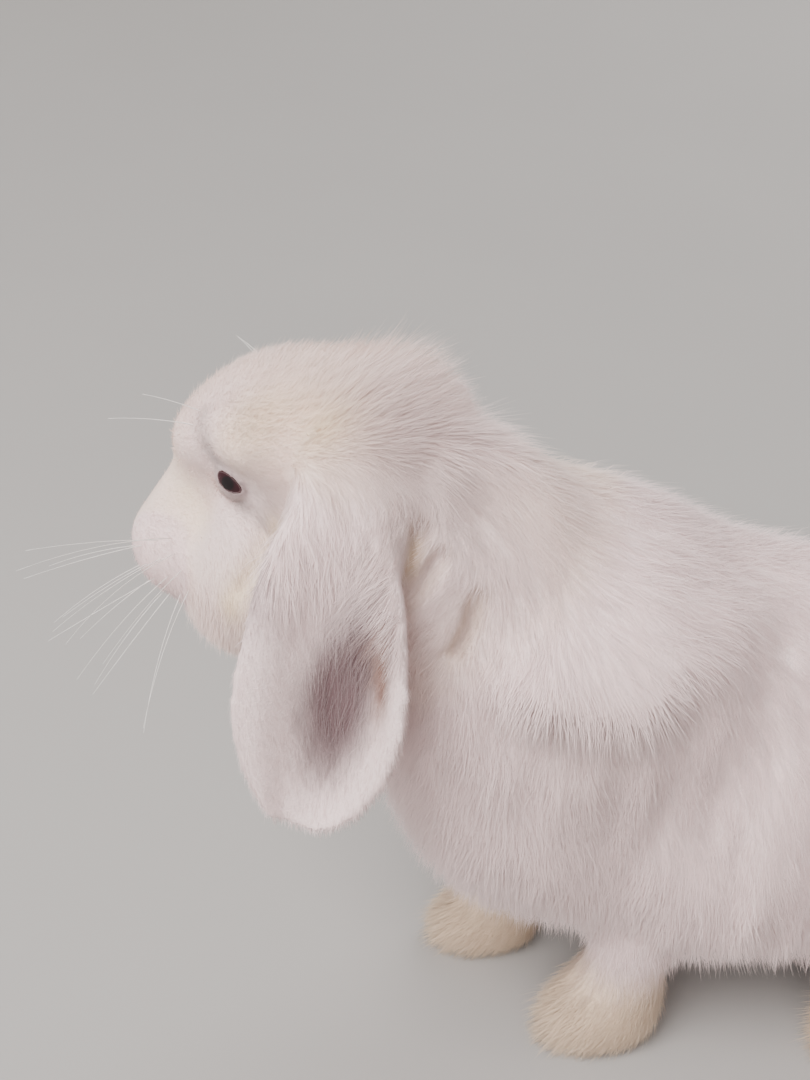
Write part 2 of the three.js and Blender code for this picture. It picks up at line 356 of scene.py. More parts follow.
def cut_whiskers(pad, side):
    """Cuts the whiskers off a pad and closes the holes that they leave."""
    middle = PAD_MIDDLE * [side, 1, 1]
    places = in_head(np.array([v.co for v in pad.verts]))
    away = np.linalg.norm(places - middle, axis=1)
    strands = [v for v, far in zip(pad.verts, away) if far > PAD_REACH]
    bmesh.ops.delete(pad, geom=strands, context="VERTS")
    bmesh.ops.holes_fill(pad, edges=pad.edges)


def grown_mesh(node, by):
    """A copy of a node's solid, with every point moved outward."""
    solid = bmesh.new()
    solid.from_mesh(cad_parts[node].data)
    bmesh.ops.remove_doubles(solid, verts=solid.verts, dist=1e-5)
    if node.startswith("whisker_pad"):
        cut_whiskers(solid, 1 if node.endswith("left") else -1)
    bmesh.ops.triangulate(solid, faces=solid.faces)
    solid.normal_update()
    for v in solid.verts:
        v.co += v.normal * by
    mesh = bpy.data.meshes.new(node)
    solid.to_mesh(mesh)
    solid.free()
    return mesh


def nearest_node_tree():
    """The faces of all the solids, and the node that each face belongs to."""
    points, faces, owners = [], [], []
    for node in NODES:
        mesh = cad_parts[node].data
        start = len(points)
        points += [tuple(v.co) for v in mesh.vertices]
        faces += [[start + i for i in p.vertices] for p in mesh.polygons]
        owners += [node] * len(mesh.polygons)
    return BVHTree.FromPolygons(points, faces), owners


CAD_TREE, CAD_OWNERS = nearest_node_tree()


def region_weights(mesh, rounds):
    """How far each point belongs to each region, blended over the borders between them."""
    points = points_of(mesh)
    weights = np.zeros((len(points), len(REGIONS)))
    for i, point in enumerate(points):
        node = CAD_OWNERS[CAD_TREE.find_nearest(point)[2]]
        weights[i, region_of("head" if node in EYES else node)] = 1
    return relax(weights, edges_of(mesh), rounds)


def share_of(weights, *names):
    return weights[:, [REGIONS.index(name) for name in names]].sum(axis=1)


def draw_in(mesh, smooth, depth):
    """Moves a mesh to its smoothed points, gives back what that took off and goes in by the depth."""
    rough, edges = points_of(mesh), edges_of(mesh)
    move_points(mesh, smooth)
    normals = normals_of(mesh)
    lost = relax(np.sum((rough - smooth) * normals, axis=1, keepdims=True), edges, ROUNDS["lost"])
    move_points(mesh, smooth + (lost - depth[:, None]) * normals)
    move_points(mesh, relax(points_of(mesh), edges, ROUNDS["drawn"]))


def body_skin():
    """The body and head without ears, smoothed and drawn in by the coat's depth."""
    nodes = [n for n in NODES if n not in EARS]
    mesh = remeshed(joined([grown_mesh(n, CLOSE) for n in nodes]), SKIN_VOXEL)
    keep_largest(mesh)
    edges = edges_of(mesh)
    weights = region_weights(mesh, ROUNDS["borders"])
    soft = share_of(weights, *SOFT_REGIONS)[:, None]
    fine = relax(points_of(mesh), edges, ROUNDS["fine"])
    smooth = fine + soft * (relax(fine, edges, ROUNDS["broad"]) - fine)
    depth = relax(weights, edges, ROUNDS["depth"]) @ np.array([DEPTH[r] for r in REGIONS]) * MM
    places = in_head(points_of(mesh))
    crown = ramp(5 * MM, -25 * MM, places[:, 2]) * share_of(weights, "head")
    draw_in(mesh, smooth, depth + CLOSE + CROWN_DEPTH * crown)
    return mesh


def refine(mesh, chosen):
    """Halves the faces around the chosen points."""
    keep = set(np.nonzero(chosen)[0].tolist())
    with edited(mesh) as fine:
        edges = [e for e in fine.edges if all(v.index in keep for v in e.verts)]
        bmesh.ops.subdivide_edges(fine, edges=edges, cuts=1, use_grid_fill=True)


# ---------------------------------------------------------------- eyes and lids

EYE_RADIUS = float((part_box("eye_left")[1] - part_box("eye_left")[0]).z) / 2
OPENING = {"ahead": 0.25, "up": 0.46}  # half-angles of the gap between the lids, from the eye's middle
EYE_TILT = 0.52  # radians by which the gap's top leans towards the nose
EYE_AIM = (0.995, 0.06, 0.05)  # left, up and forward in the head's frame
LID_RISE = 0.2 * MM  # of the skin round the gap over the eyeball
SOCKET_DEPTH = 1.8 * MM  # of the skin in the gap under the eyeball's surface


def eye_axes(side):
    """The eye's middle, and its outward, noseward and upward directions."""
    middle = middle_of("eye_left" if side > 0 else "eye_right")
    out = unit(np.array(EYE_AIM) * [side, 1, 1] @ HEAD_AXES)
    ahead = unit(HEAD_FORWARD - (HEAD_FORWARD @ out) * out)
    up = unit(HEAD_UP - (HEAD_UP @ out) * out - (HEAD_UP @ ahead) * ahead)
    cos, sin = math.cos(EYE_TILT), math.sin(EYE_TILT)
    return middle, out, cos * ahead - sin * up, cos * up + sin * ahead


def eye_point(side, ahead_angle, up_angle, radius):
    """A point at two angles from the eye's axis, `radius` from its middle."""
    middle, out, ahead, up = eye_axes(side)
    rho = np.hypot(ahead_angle, up_angle)
    sine = np.sinc(rho / np.pi)  # sin(rho) / rho
    direction = (
        np.multiply.outer(np.cos(rho), out)
        + np.multiply.outer(ahead_angle * sine, ahead)
        + np.multiply.outer(up_angle * sine, up)
    )
    return middle + direction * np.asarray(radius)[..., None]


def opening_share(points, side):
    """How far out from the eye's axis each point lies, 1 being the lids' edge, and its distance."""
    middle, out, ahead, up = eye_axes(side)
    offset = points - middle
    radius = np.linalg.norm(offset, axis=1)
    direction = offset / radius[:, None]
    rho = np.arccos(np.clip(direction @ out, -1, 1))
    scale = rho / np.maximum(np.sin(rho), 1e-6)
    share = np.hypot(direction @ ahead * scale / OPENING["ahead"], direction @ up * scale / OPENING["up"])
    return share, radius


def eye_share(points):
    """The share of the nearer eye's opening, as above."""
    return np.minimum(*[opening_share(points, side)[0] for side in (1, -1)])


def beside_eye(places):
    """Whether places in the head's frame are no further fore or aft than the eye's surroundings."""
    return np.abs(places[:, 2]) < 14 * MM


def shape_sockets(points):
    """Sinks the skin behind each eyeball and lays it over the ball around the gap between the lids."""
    lid = EYE_RADIUS + LID_RISE
    under = EYE_RADIUS - SOCKET_DEPTH
    for side in (1, -1):
        share, radius = opening_share(points, side)
        middle = eye_axes(side)[0]
        over = np.maximum(lid + (radius - lid) * ramp(1.08, 2.2, share), lid)
        target = under + (over - under) * ramp(0.98, 1.1, share)
        target = np.where(radius > 2.4 * EYE_RADIUS, radius, target)
        points = middle + (points - middle) * (target / radius)[:, None]
    return points


# ---------------------------------------------------------------- face

# All in the head's frame, in millimetres, for the rabbit's left and mirrored to its right.
# Grooves: a path, depth and width.
MOUTH = [(0, -13, 54), (0, -21, 52), (3, -25, 50), (9, -27, 45), (15, -25, 39), (20, -24, 32)]
FACE_GROOVES = [
    (MOUTH, 1.9, 1.6),
    ([(27, -14, -6), (30, -20, 3), (29, -28, 17)], 1.8, 3.0),  # between cheek and ear
    ([(21, 1, 11), (17, -1, 17), (16, -5, 22)], 1.0, 2.2),  # tear furrow
    ([(25, 4, 2), (24, 8, 1), (22, 14, 2)], 0.4, 2.4),  # fold from the front of the eye up the brow
    ([(24, -6, 0), (26, -11, -2), (28, -16, -1)], 0.8, 2.4),  # fold below the eye
    ([(26, 6, -16), (26, 5, -24), (22, 12, -27)], 0.9, 2.0),  # fold over the brow
]

# Swellings and hollows: a place, how far they reach and how far they rise.
FACE_FORMS = [
    ((9, -2, 46), 9, 5.4),  # the top of the whisker pad
    ((12, 4, 34), 7, 2.6),  # between it and the bridge
    ((13, -14, 43), 8, 2.4),  # the pad's front
    ((18, -15, 33), 9, 1.4),  # its rear
    ((0, -30, 38), 8, 2.2),  # chin
    ((9, -30, 36), 9, 3.0),  # its side
    ((12, -36, 28), 11, 5.0),  # jaw
    ((16, -38, 14), 12, 4.0),  # throat
    ((9, 20, -6), 14, 2.8),  # forehead
    ((14, 14, 13), 10, 3.8),  # bridge of the nose
    ((25, -24, 13), 12, 1.2),  # cheek
    ((24, 10, -7), 8, 4.0),  # brow
    ((26, 1, -11), 7, 4.2),  # behind the eye
    ((26, 5, -7), 5, 2.6),  # its upper rear corner
    ((25, -7, -5), 6, 2.6),  # below the eye, behind
    ((23, -9, 7), 6, 1.2),  # below the eye, in front
    ((19, 2, 14), 5, -1.2),  # in front of the eye
    ((11, 9, 25), 5, 0.8),  # step from the bridge down to the pad
]
EAR_ROOT_FORMS = [((34, -14, -20), 13, 3.0), ((30, -2, -24), 12, 4.0), ((31, -6, -38), 13, 3.0)]

# The bare leather of the nose, in the head's frame in millimetres.
NOSE = {"up": -9, "wide": 5.0, "tall": 3.6, "sunk": 1.8, "rise": 0.35}
NOSTRIL = [(4.2, -7.2), (3.4, -9.2), (1.6, -10.6)]


def nose_share(across, up):
    """How far out from the middle of the nose a place lies, 1 being the edge of its leather."""
    height = (up - NOSE["up"]) / NOSE["tall"]
    return np.hypot(across / (NOSE["wide"] * (0.8 + 0.2 * np.clip(height, -1, 1))), height)


def sink_nose(points):
    """Sinks the skin under the leather of the nose."""
    places = in_head(points) / MM
    share = np.where(places[:, 2] > 40, nose_share(places[:, 0], places[:, 1]), 9)
    return points - (NOSE["sunk"] * MM * ramp(1.05, 0.8, share))[:, None] * HEAD_FORWARD


def on_left(points):
    """Places in the head's frame, with those of its right side mirrored to its left."""
    places = in_head(points)
    return np.abs(places) * [1, 0, 0] + places * [0, 1, 1]


def swellings(places, forms):
    """How far the surface rises at each place."""
    return sum(height * MM * by_place(places, place, reach) for place, reach, height in forms)


def shape_face(points, normals):
    """Swells the face's forms and cuts its grooves, which fade at their ends."""
    places = on_left(points)
    rise = swellings(places, FACE_FORMS)
    for path, depth, width in FACE_GROOVES:
        along = near_path(places, np.array(path) * MM)[1]
        ends = ramp(1, 0.75, along) * (1 if path is MOUTH else ramp(0, 0.15, along))
        rise -= depth * MM * by_path(places, path, width) * ends
    return points + rise[:, None] * normals


# ---------------------------------------------------------------- ears

# In millimetres: the widest place, how far from it root and tip lie, how deep the leaf is cupped, and
# how thick leaf and root are. "narrowing" is the share of the width that the root loses, and "upturn"
# opens the root upwards.
EAR = {"width": 44, "root": 76, "tip": 46, "cup": 8, "thickness": 5.4, "root_swell": 4.0,
       "narrowing": 0.3, "upturn": 1.2}  # fmt: skip
EAR_LINES = {  # the middle of each ear from root to tip
    "ear_left": [(12, -101, 203), (31, -104, 190), (42, -110, 143), (37, -121, 100)],
    "ear_right": [(-12, -80, 196), (-38, -70, 187), (-58, -59, 144), (-59, -57, 98)],
}
EAR_OPEN = {"ear_left": (0.9, -0.43, 0), "ear_right": (-0.96, -0.28, 0)}  # where each hollow faces
EAR_STEPS = (90, 72)  # along an ear and around it
LEAST_HALF_EAR = 7 * MM  # the least half-width that places across an ear are measured by


def smooth_curve(places, shares):
    """Points at the given shares of the length of a smooth curve through a few places."""
    places = np.array(places, float)
    at = np.concatenate([[0], np.cumsum(np.linalg.norm(np.diff(places, axis=0), axis=1))])
    fine = np.linspace(0, at[-1], 20 * len(shares))
    fits = [np.polyfit(at, column, len(places) - 1) for column in places.T]
    curve = np.stack([np.polyval(fit, fine) for fit in fits], axis=1)
    gone = np.concatenate([[0], np.cumsum(np.linalg.norm(np.diff(curve, axis=0), axis=1))])
    return np.stack([np.interp(shares * gone[-1], gone, column) for column in curve.T], axis=1)


class Ear:
    """A leaf along a line from root to tip, cupped about it and open to one side."""

    def __init__(self, node):
        share = np.sin(np.linspace(0, np.pi / 2, EAR_STEPS[0]))  # closest together at the tip
        self.share = share
        self.line = smooth_curve(EAR_LINES[node], share) * MM
        tangent = unit(np.gradient(self.line, axis=0))
        opening = EAR_OPEN[node] + EAR["upturn"] * ramp(0.42, 0.12, share)[:, None] * WORLD_UP
        self.out = unit(opening - np.sum(tangent * opening, axis=1, keepdims=True) * tangent)
        self.front = np.cross(self.out, tangent)
        self.front *= -np.sign(self.front[:, 1:2].sum())
        beyond = share * (EAR["root"] + EAR["tip"]) - EAR["root"]  # the widest place, in millimetres
        from_widest = beyond / np.where(beyond < 0, EAR["root"], EAR["tip"])
        self.round = np.sqrt(np.maximum(1 - from_widest**2, 0.003))
        narrowed = 1 - EAR["narrowing"] * np.maximum(-from_widest, 0)
        self.half = self.round * narrowed * EAR["width"] / 2 * MM

    def surface(self):
        """Closed rows of points round the leaf."""
        turn = np.linspace(0, 2 * np.pi, EAR_STEPS[1], endpoint=False)
        across = np.cos(turn)[None, :] * np.ones((len(self.line), 1))
        round_rim = np.sign(np.sin(turn)) * np.sqrt(np.abs(np.sin(turn)))
        thick = EAR["thickness"] / 2 * self.round[:, None] * (1 + 0.5 * hump(across - 0.75, 0.3))
        thick += EAR["root_swell"] * ramp(0.5, 0.1, self.share)[:, None]
        rise = EAR["cup"] * (across**2 - 0.4) * self.round[:, None] ** 2 + thick * round_rim
        wide = across * self.half[:, None]
        middle = self.line[:, None] + wide[..., None] * self.front[:, None]
        return middle + rise[..., None] * MM * self.out[:, None]

    def place(self, points):
        """Each point's place along and across the ear, which way the hollow faces, and if it is near."""
        nearest = np.zeros(len(points), int)
        best = np.full(len(points), np.inf)
        for i, middle in enumerate(self.line):
            away = np.sum((points - middle) ** 2, axis=1)
            nearer = away < best
            nearest[nearer] = i
            best[nearer] = away[nearer]
        half = np.maximum(self.half[nearest], LEAST_HALF_EAR)
        across = np.sum((points - self.line[nearest]) * self.front[nearest], axis=1) / half
        near = best < (EAR["width"] * MM) ** 2
        return self.share[nearest], across, self.out[nearest], near

    def root(self, points):
        """1 where the ear grows out of the head, 0 elsewhere."""
        away, along = near_path(points, self.line[::6])
        along = np.sin(np.pi / 2 * along)
        return ramp(0.45, 0.25, along) * ramp(26 * MM, 18 * MM, away)

    def hollow(self, points, normals):
        """1 in the thin-haired hollow of the ear, 0 elsewhere."""
        along, across, out, near = self.place(points)
        middle = -0.14 - 1.2 * np.maximum(0.62 - along, 0)
        share = np.hypot((along - 0.61) / 0.31, (across - middle) / 0.54)
        return ramp(1.2, 0.35, share) * facing(normals, out) * near


EAR_PLACES = {node: Ear(node) for node in EARS}


def ear_skin(node):
    return grid_mesh(node, EAR_PLACES[node].surface(), caps=True)


def shape_ears(points, normals, ear_share):
    """Deepens the hollow of each ear, rolls its front, and folds its rear rim."""
    for ear in EAR_PLACES.values():
        along, across, out, near = ear.place(points)
        inside = facing(normals, out, 0.1, 0.6) * near * ear_share
        length = ramp(0.25, 0.5, along)
        sunk = hump(across + 0.17, 0.42) * ramp(1.0, 0.84, along)
        roll = hump(across - 0.62, 0.24)
        rim = hump(across + 0.86, 0.14)
        groove = hump(across + 0.66, 0.06) * ramp(0.8, 0.6, along)
        rise = 2.0 * roll + 1.4 * rim - 2.2 * sunk - 1.6 * groove
        points = points + (inside * length * rise * MM)[:, None] * out
    return points


# ---------------------------------------------------------------- body

# Millimetres in the shared frame, on the rabbit's left.
CAPE_EDGE = [(44, -75, 138), (54, -55, 136), (58, -36, 133), (55, -20, 140), (50, -7, 144)]
CAPE_WAVE = 4.5 * MM  # how far that edge rises and falls
PARTINGS = [
    [(39.5, -86, 183), (41.7, -88.6, 174), (44.6, -91.1, 164.5)],
    [(43, -82, 176.5), (43, -87, 169), (45.4, -91.6, 163)],
    [(44, -73, 165), (44, -75, 157), (43, -78, 150)],
]

# Swellings and hollows: a place, how far they reach and how far they rise.
BODY_FORMS = [
    ((8, -66, 204), 13, -5.0),  # nape, behind the head
    ((42, -68, 188), 15, -5.5),  # neck, behind the ear's root
    ((29, -50, 182), 13, 3.0),  # the dip from the neck to the shoulder
    ((43, -60, 173), 12, 2.0),  # the shoulder's front
    ((10, -20, 192), 34, 2.0),  # shoulders
]


def below_cape(points):
    """How far each point lies below the cape's edge, in metres, and how near it is to that edge."""
    path = np.array(CAPE_EDGE) * MM
    away, along = near_path(points, path)
    edge = np.interp(along * (len(path) - 1), np.arange(len(path)), path[:, 2])
    near = hump(away, 16 * MM) * ramp(0, 0.2, along) * ramp(1, 0.65, along)
    wave = CAPE_WAVE * noise(points, 14 * MM, 41)
    return edge + wave - points[:, 2], near


def parted(points, width):
    """1 on the partings of the neck's coat, falling to 0 over the width in millimetres."""
    return np.max([by_path(points, path, width) for path in PARTINGS], axis=0)


def shape_body(points, normals, soft):
    """Swells the shoulder's cape over a hollow, parts the coat on the neck, and flutes the flanks."""
    under, near = below_cape(points)
    rise = near * (5.6 * ramp(2 * MM, -7 * MM, under) - 5.2 * ramp(-1 * MM, 7 * MM, under))
    rise -= 3.4 * parted(points, 2)
    rise += swellings(points, BODY_FORMS) / MM
    flank = ramp(0.3, 0.8, np.abs(normals[:, 0])) * ramp(150 * MM, 110 * MM, points[:, 2]) * soft
    flutes = noise(points * [1, 1, 0.22], 7 * MM, 21)
    rise += 1.7 * flank * flutes + 1.1 * soft * noise(points, 24 * MM, 31)
    return points + (rise * MM)[:, None] * normals


# ---------------------------------------------------------------- feet

TOES = {"forefoot": (-0.75, -0.25, 0.25, 0.75), "hind_foot": (-0.72, -0.24, 0.24, 0.72)}
TOE_DEPTH = 1.0 * MM
FEET = [n for n in NODES if n.startswith(("forefoot", "hind_foot"))]


def on_foot(points, node):
    """Places across a foot, from -1 to 1, and along it, from -1 at the toes to 1 at the heel."""
    low, high = (np.array(corner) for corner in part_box(node))
    return ((points - (low + high) / 2) / ((high - low) / 2))[:, :2].T


def shape_feet(points, normals):
    """Parts the front of each foot into toes."""
    for node in FEET:
        across, along = on_foot(points, node)
        low = points[:, 2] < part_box(node)[1].z + 2 * MM
        near = (np.abs(across) < 1.2) & (np.abs(along) < 1.2) & low
        toes = TOES[node.rsplit("_", 1)[0]]
        partings = sum(hump(across - (a + b) / 2, 0.11) for a, b in zip(toes, toes[1:]))
        depth = TOE_DEPTH * partings * ramp(-0.1, -0.6, along) * ramp(-0.9, 0, normals[:, 2]) * near
        points = points - depth[:, None] * normals
    return points


# ---------------------------------------------------------------- the whole skin


def make_skin():
    mesh = remeshed(joined([body_skin(), *[ear_skin(n) for n in EARS]]), SKIN_VOXEL)
    keep_largest(mesh)
    move_points(mesh, relax(points_of(mesh), edges_of(mesh), ROUNDS["voxels"]))
    places = in_head(points_of(mesh))
    refine(mesh, np.linalg.norm(places - FACE_MIDDLE, axis=1) < FACE_REACH)
    points = points_of(mesh)
    places = on_left(points)
    lips = near_path(places, np.array(MOUTH) * MM)[0] < LIPS_REACH
    lids = (eye_share(points) < LIDS_REACH) & (np.abs(places[:, 2]) < 18 * MM)
    refine(mesh, lids | lips)
    edges = edges_of(mesh)
    weights = region_weights(mesh, ROUNDS["regions"])
    points = relax(points_of(mesh), edges, ROUNDS["refined"])
    fluff = swellings(on_left(points), EAR_ROOT_FORMS) * (1 - share_of(weights, "ear"))
    points = points + fluff[:, None] * normals_of(mesh)
    root = sum(ear.root(points) for ear in EAR_PLACES.values())[:, None]
    points = points + root * (relax(points, edges, ROUNDS["root"]) - points)
    move_points(mesh, points)
    points = shape_ears(points, normals_of(mesh), share_of(weights, "ear"))
    points = shape_feet(points, normals_of(mesh))
    points = shape_body(points, normals_of(mesh), share_of(weights, *SOFT_REGIONS))
    points = shape_face(points, normals_of(mesh))
    points = sink_nose(shape_sockets(points))
    move_points(mesh, points)
    shade_smooth(mesh)
    return mesh, weights


# ---------------------------------------------------------------- colours

WHITE = (0.865, 0.69, 0.68)
CREAM = (0.86, 0.69, 0.50)
FOOT_CREAM = (0.66, 0.505, 0.37)
# the ear's hollow: mauve skin through thin hair, darkened further as painted shade of the hollow
EAR_MAUVE_AND_SHADE = (0.15, 0.095, 0.10)
EAR_GROOVE = (0.26, 0.13, 0.09)
# painted shade round each eye, which sits in a hollow
PAINTED_LID_SHADE = (0.30, 0.22, 0.23)
TEAR_STAIN = (0.62, 0.43, 0.37)
PAINTED_FACE_SHADE = (0.42, 0.34, 0.33)  # painted shade in the hollows round the eye
# the neck's partings: yellowish roots, darkened further as painted shade in the clefts
PARTING = (0.42, 0.29, 0.18)
PAINTED_BODY_SHADE = (0.60, 0.47, 0.455)  # painted shade in the body's hollows

# Painted shade round the eye and a tear stain, in the head's frame, in millimetres: colour, path, width
# and strength.
EYE_SHADE_AND_TEAR_STREAKS = [
    (PAINTED_FACE_SHADE, [(24, 5, 2), (23, 12, 2), (21, 17, 2)], 3.2, 0.55),  # up the brow
    (PAINTED_FACE_SHADE, [(24, -6, 0), (26, -11, -2)], 2.4, 0.55),  # below the eye
    (PAINTED_FACE_SHADE, [(26, 1, -8), (26, -7, -8)], 5, 0.35),  # behind it
    (PAINTED_FACE_SHADE, [(25, -1, 5), (25, -5, 2)], 2.5, 0.5),  # its front corner
    (PAINTED_FACE_SHADE, [(24, 5, 2), (24, 10, 3)], 2.4, 0.7),  # its upper end
    (PAINTED_FACE_SHADE, [(24, -4, 3), (24, -7, 2)], 2.2, 0.6),  # its lower end
    (TEAR_STAIN, [(23, 1, 6), (19, 0, 12), (16, -3, 19)], 2.6, 0.7),
]
CREAM_STREAKS = [
    (CREAM, [(26, 6, -30), (24, 12, -28)], 8, 1.0),  # over the ear's root
    (CREAM, [(24, 9, -10), (20, 14, -18)], 7, 0.6),  # temple
    (CREAM, [(14, 0, 24), (17, -6, 22)], 6, 0.5),  # beside the nose
    (CREAM, [(27, -14, -6), (30, -20, 3), (29, -28, 17)], 3.5, 0.9),  # between cheek and ear
]

# Painted shade in the body's hollows, in the shared frame, in millimetres: middle, reach and strength.
PAINTED_SHADE_SPOTS = [
    ((40, -82, 189), 18, 1.0),  # neck, behind the ear's root
    ((58, -46, 124), 22, 0.6),  # under the cape
    ((53, -54, 86), 28, 0.45),  # belly, above the elbow
]


def blend(colours, target, share):
    share = np.clip(share, 0, 1)[:, None]
    return colours * (1 - share) + np.array(target) * share


def streaked(colours, places, streaks):
    for target, path, width, strength in streaks:
        colours = blend(colours, target, strength * by_path(places, path, width))
    return colours


def markings(points, normals, weights, through=1.0):
    """The colour of skin and coat at each point, with painted shade in hollows; in the ears the skin
    shows through thin hair.
    """
    places = on_left(points)
    colours = np.tile(WHITE, (len(points), 1))
    low = ramp(40 * MM, 18 * MM, points[:, 2]) * share_of(weights, "forefoot", "hind_foot", "foreleg")
    colours = blend(colours, FOOT_CREAM, low)
    mottled = 0.5 + 0.5 * noise(points, 22 * MM, 3)
    colours = blend(colours, CREAM, 0.45 * share_of(weights, "head", "neck") * mottled)
    colours = streaked(colours, places, CREAM_STREAKS)
    # painted shade round each eye
    close = hump(np.maximum(eye_share(points) - 1.1, 0), 0.8) * beside_eye(places)
    colours = blend(colours, PAINTED_LID_SHADE, 0.85 * close)
    # painted shade in the hollows round the eye, and the tear stain
    colours = streaked(colours, places, EYE_SHADE_AND_TEAR_STREAKS)
    on_ear = share_of(weights, "ear")
    for ear in EAR_PLACES.values():
        # each hollow's mauve skin, darkened further as painted shade
        colours = blend(colours, EAR_MAUVE_AND_SHADE, ear.hollow(points, normals) * on_ear * through)
        along, across, out, near = ear.place(points)
        fold = hump(across + 0.65, 0.09) * ramp(0.40, 0.47, along) * ramp(0.70, 0.55, along) * near
        fold *= facing(normals, out) * on_ear
        colours = blend(colours, EAR_GROOVE, fold * through)
    # painted shade in the body's hollows
    for place, reach, strength in PAINTED_SHADE_SPOTS:
        colours = blend(colours, PAINTED_BODY_SHADE, strength * by_place(points, place, reach))
    # the partings' yellowish roots, darkened further as painted shade in the clefts
    return blend(colours, PARTING, 0.9 * parted(points, 2.4))


# ---------------------------------------------------------------- the coat

# Length and width in mm, share of the coat's tufts for each area, and the lift off the skin in degrees.
COAT = {
    "head": (3.8, 0.16, 1.9, 26), "nose": (0.8, 0.15, 1.0, 10), "neck": (10, 0.17, 1.1, 30),
    "trunk": (10, 0.17, 1.0, 30), "tail": (14, 0.22, 1.1, 34), "whisker_pad": (2.6, 0.14, 2.6, 22),
    "ear": (3.6, 0.15, 1.7, 17), "foreleg": (7, 0.18, 1.2, 26), "forefoot": (5.6, 0.18, 2.4, 34),
    "thigh": (10, 0.17, 1.0, 30), "hind_foot": (6.0, 0.18, 1.7, 32),
}  # fmt: skip

# Two layers: short straight hair that closes the coat, and longer bent locks over it.
LAYERS = {
    "under": {"tufts": 270_000, "rings": 1, "length": 0.9, "width": 1.1, "lift": 0.6},
    "over": {"tufts": 38_000, "rings": 2, "length": 1.1, "width": 0.75, "lift": 1.0},
}
LOCKS = 9000  # in each layer
TUFTS_IN_STRAND = 5
PIECE_TRIANGLES = 190_000
YAW = 0.2  # how far each lock turns from the lie of the coat
JITTER = 0.26  # and each tuft from its lock
ROOTED = 0.3 * MM  # how deep the roots are in the skin
OFF_FLOOR = 0.2 * MM  # no tuft comes nearer to the floor
HAIR_IN_EAR = 0.9  # how much of the ears' own colours and painted shade the thin hair of the ears takes
PATCH = 0.003  # the side of a tuft's patch on the OFBake map, as a share of the map

# Longer hair in the head's frame, in millimetres.
JAW_FRINGE = [(24, -28, 30), (23, -37, 22), (17, -42, 12), (8, -42, 18)]
CHEEK_FRINGE = (33, -20, -22)
NAPE_FRINGE = [(10, 8, -42), (2, -4, -51)]
TAIL_ROOT = middle_of("tail") - np.array([0, 18, -8]) * MM


def ear_sweep(points, normals):
    """Towards an ear's front rim, in its hollow."""
    ears = EAR_PLACES.values()
    return sum(0.15 * ear.hollow(points, normals)[:, None] * ear.front.mean(axis=0) for ear in ears)


def lie_of_coat(points, normals, weights, edges):
    """The direction in which the coat lies at each point."""
    places = on_left(points)
    back_from_nose = unit(points - from_head([0, 0, 58 * MM]))
    beside = np.abs(normals[:, :1])
    chest = np.maximum(-normals[:, 1:2], 0)
    down = np.array([[0, 0, -1.0]])
    tailwards = np.array([[0, 1.0, 0]])
    body = tailwards * (1 - 0.86 * beside - chest) + down * (1.3 * beside + chest)
    to_ear = (ramp(18 * MM, 30 * MM, places[:, 0]) * ramp(2 * MM, -16 * MM, places[:, 1]))[:, None]
    lie = {
        "head": back_from_nose * (1 - 0.8 * to_ear) + down * to_ear,
        "nose": back_from_nose, "whisker_pad": back_from_nose,
        "neck": tailwards * (0.8 - 0.5 * beside) + down * (0.3 + 0.9 * beside),
        "trunk": body, "thigh": tailwards * 0.5 + down * (0.2 + 0.9 * beside),
        "tail": unit(points - TAIL_ROOT), "ear": down + ear_sweep(points, normals), "foreleg": down,
        "forefoot": np.array([[0, -0.8, -0.6]]), "hind_foot": np.array([[0, -1.0, -0.3]]),
    }  # fmt: skip
    total = sum(weights[:, [REGIONS.index(r)]] * lie[r] for r in REGIONS)
    total = relax(unit(total), edges, ROUNDS["lie"])
    for path in PARTINGS:
        path = np.array(path) * MM
        offset = beside_path(points, path)[0]
        away = np.linalg.norm(offset, axis=1, keepdims=True)
        close = ramp(16 * MM, 6 * MM, away)
        outward = 0.55 * offset / np.maximum(away, MM / 2)
        total = total * (1 - close) + close * (unit(path[-1] - path[0]) + outward)
    across = np.cross(total, normals)
    swing = 0.26 * noise(points, 18 * MM, 5) + 0.14 * noise(points, 6 * MM, 6)
    calm = 1 - 0.6 * share_of(weights, "ear")
    total = unit(total + (swing * calm)[:, None] * across)
    for side in (1, -1):
        share, radius = opening_share(points, side)
        near = (0.25 * ramp(2.0, 1.2, share) * (radius < 2 * EYE_RADIUS))[:, None]
        from_eye = unit(points - eye_point(side, 0, 0, EYE_RADIUS))
        total = unit(total * (1 - near) + near * from_eye)
    return total


def toe_tufts(points, weights):
    """1 at the front of the feet, where the hair stands out in tufts, and the same below their tops."""
    feet = share_of(weights, "forefoot", "hind_foot")
    tufts, low_tufts = np.zeros((2, len(points)))
    for node in FEET:
        across, along = on_foot(points, node)
        toes = feet * hump(along + 0.85, 0.4) * (np.abs(across) < 1.2)
        tufts += toes
        low_tufts += toes * (points[:, 2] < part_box(node)[1].z)
    return tufts, low_tufts


def ear_drape(points, normals):
    """1 in the long hair that hangs over the upper end of an ear's hollow."""
    drape = np.zeros(len(points))
    for ear in EAR_PLACES.values():
        along, across, out, near = ear.place(points)
        drape += near * hump(along - 0.36, 0.10) * facing(normals, out)
    return drape


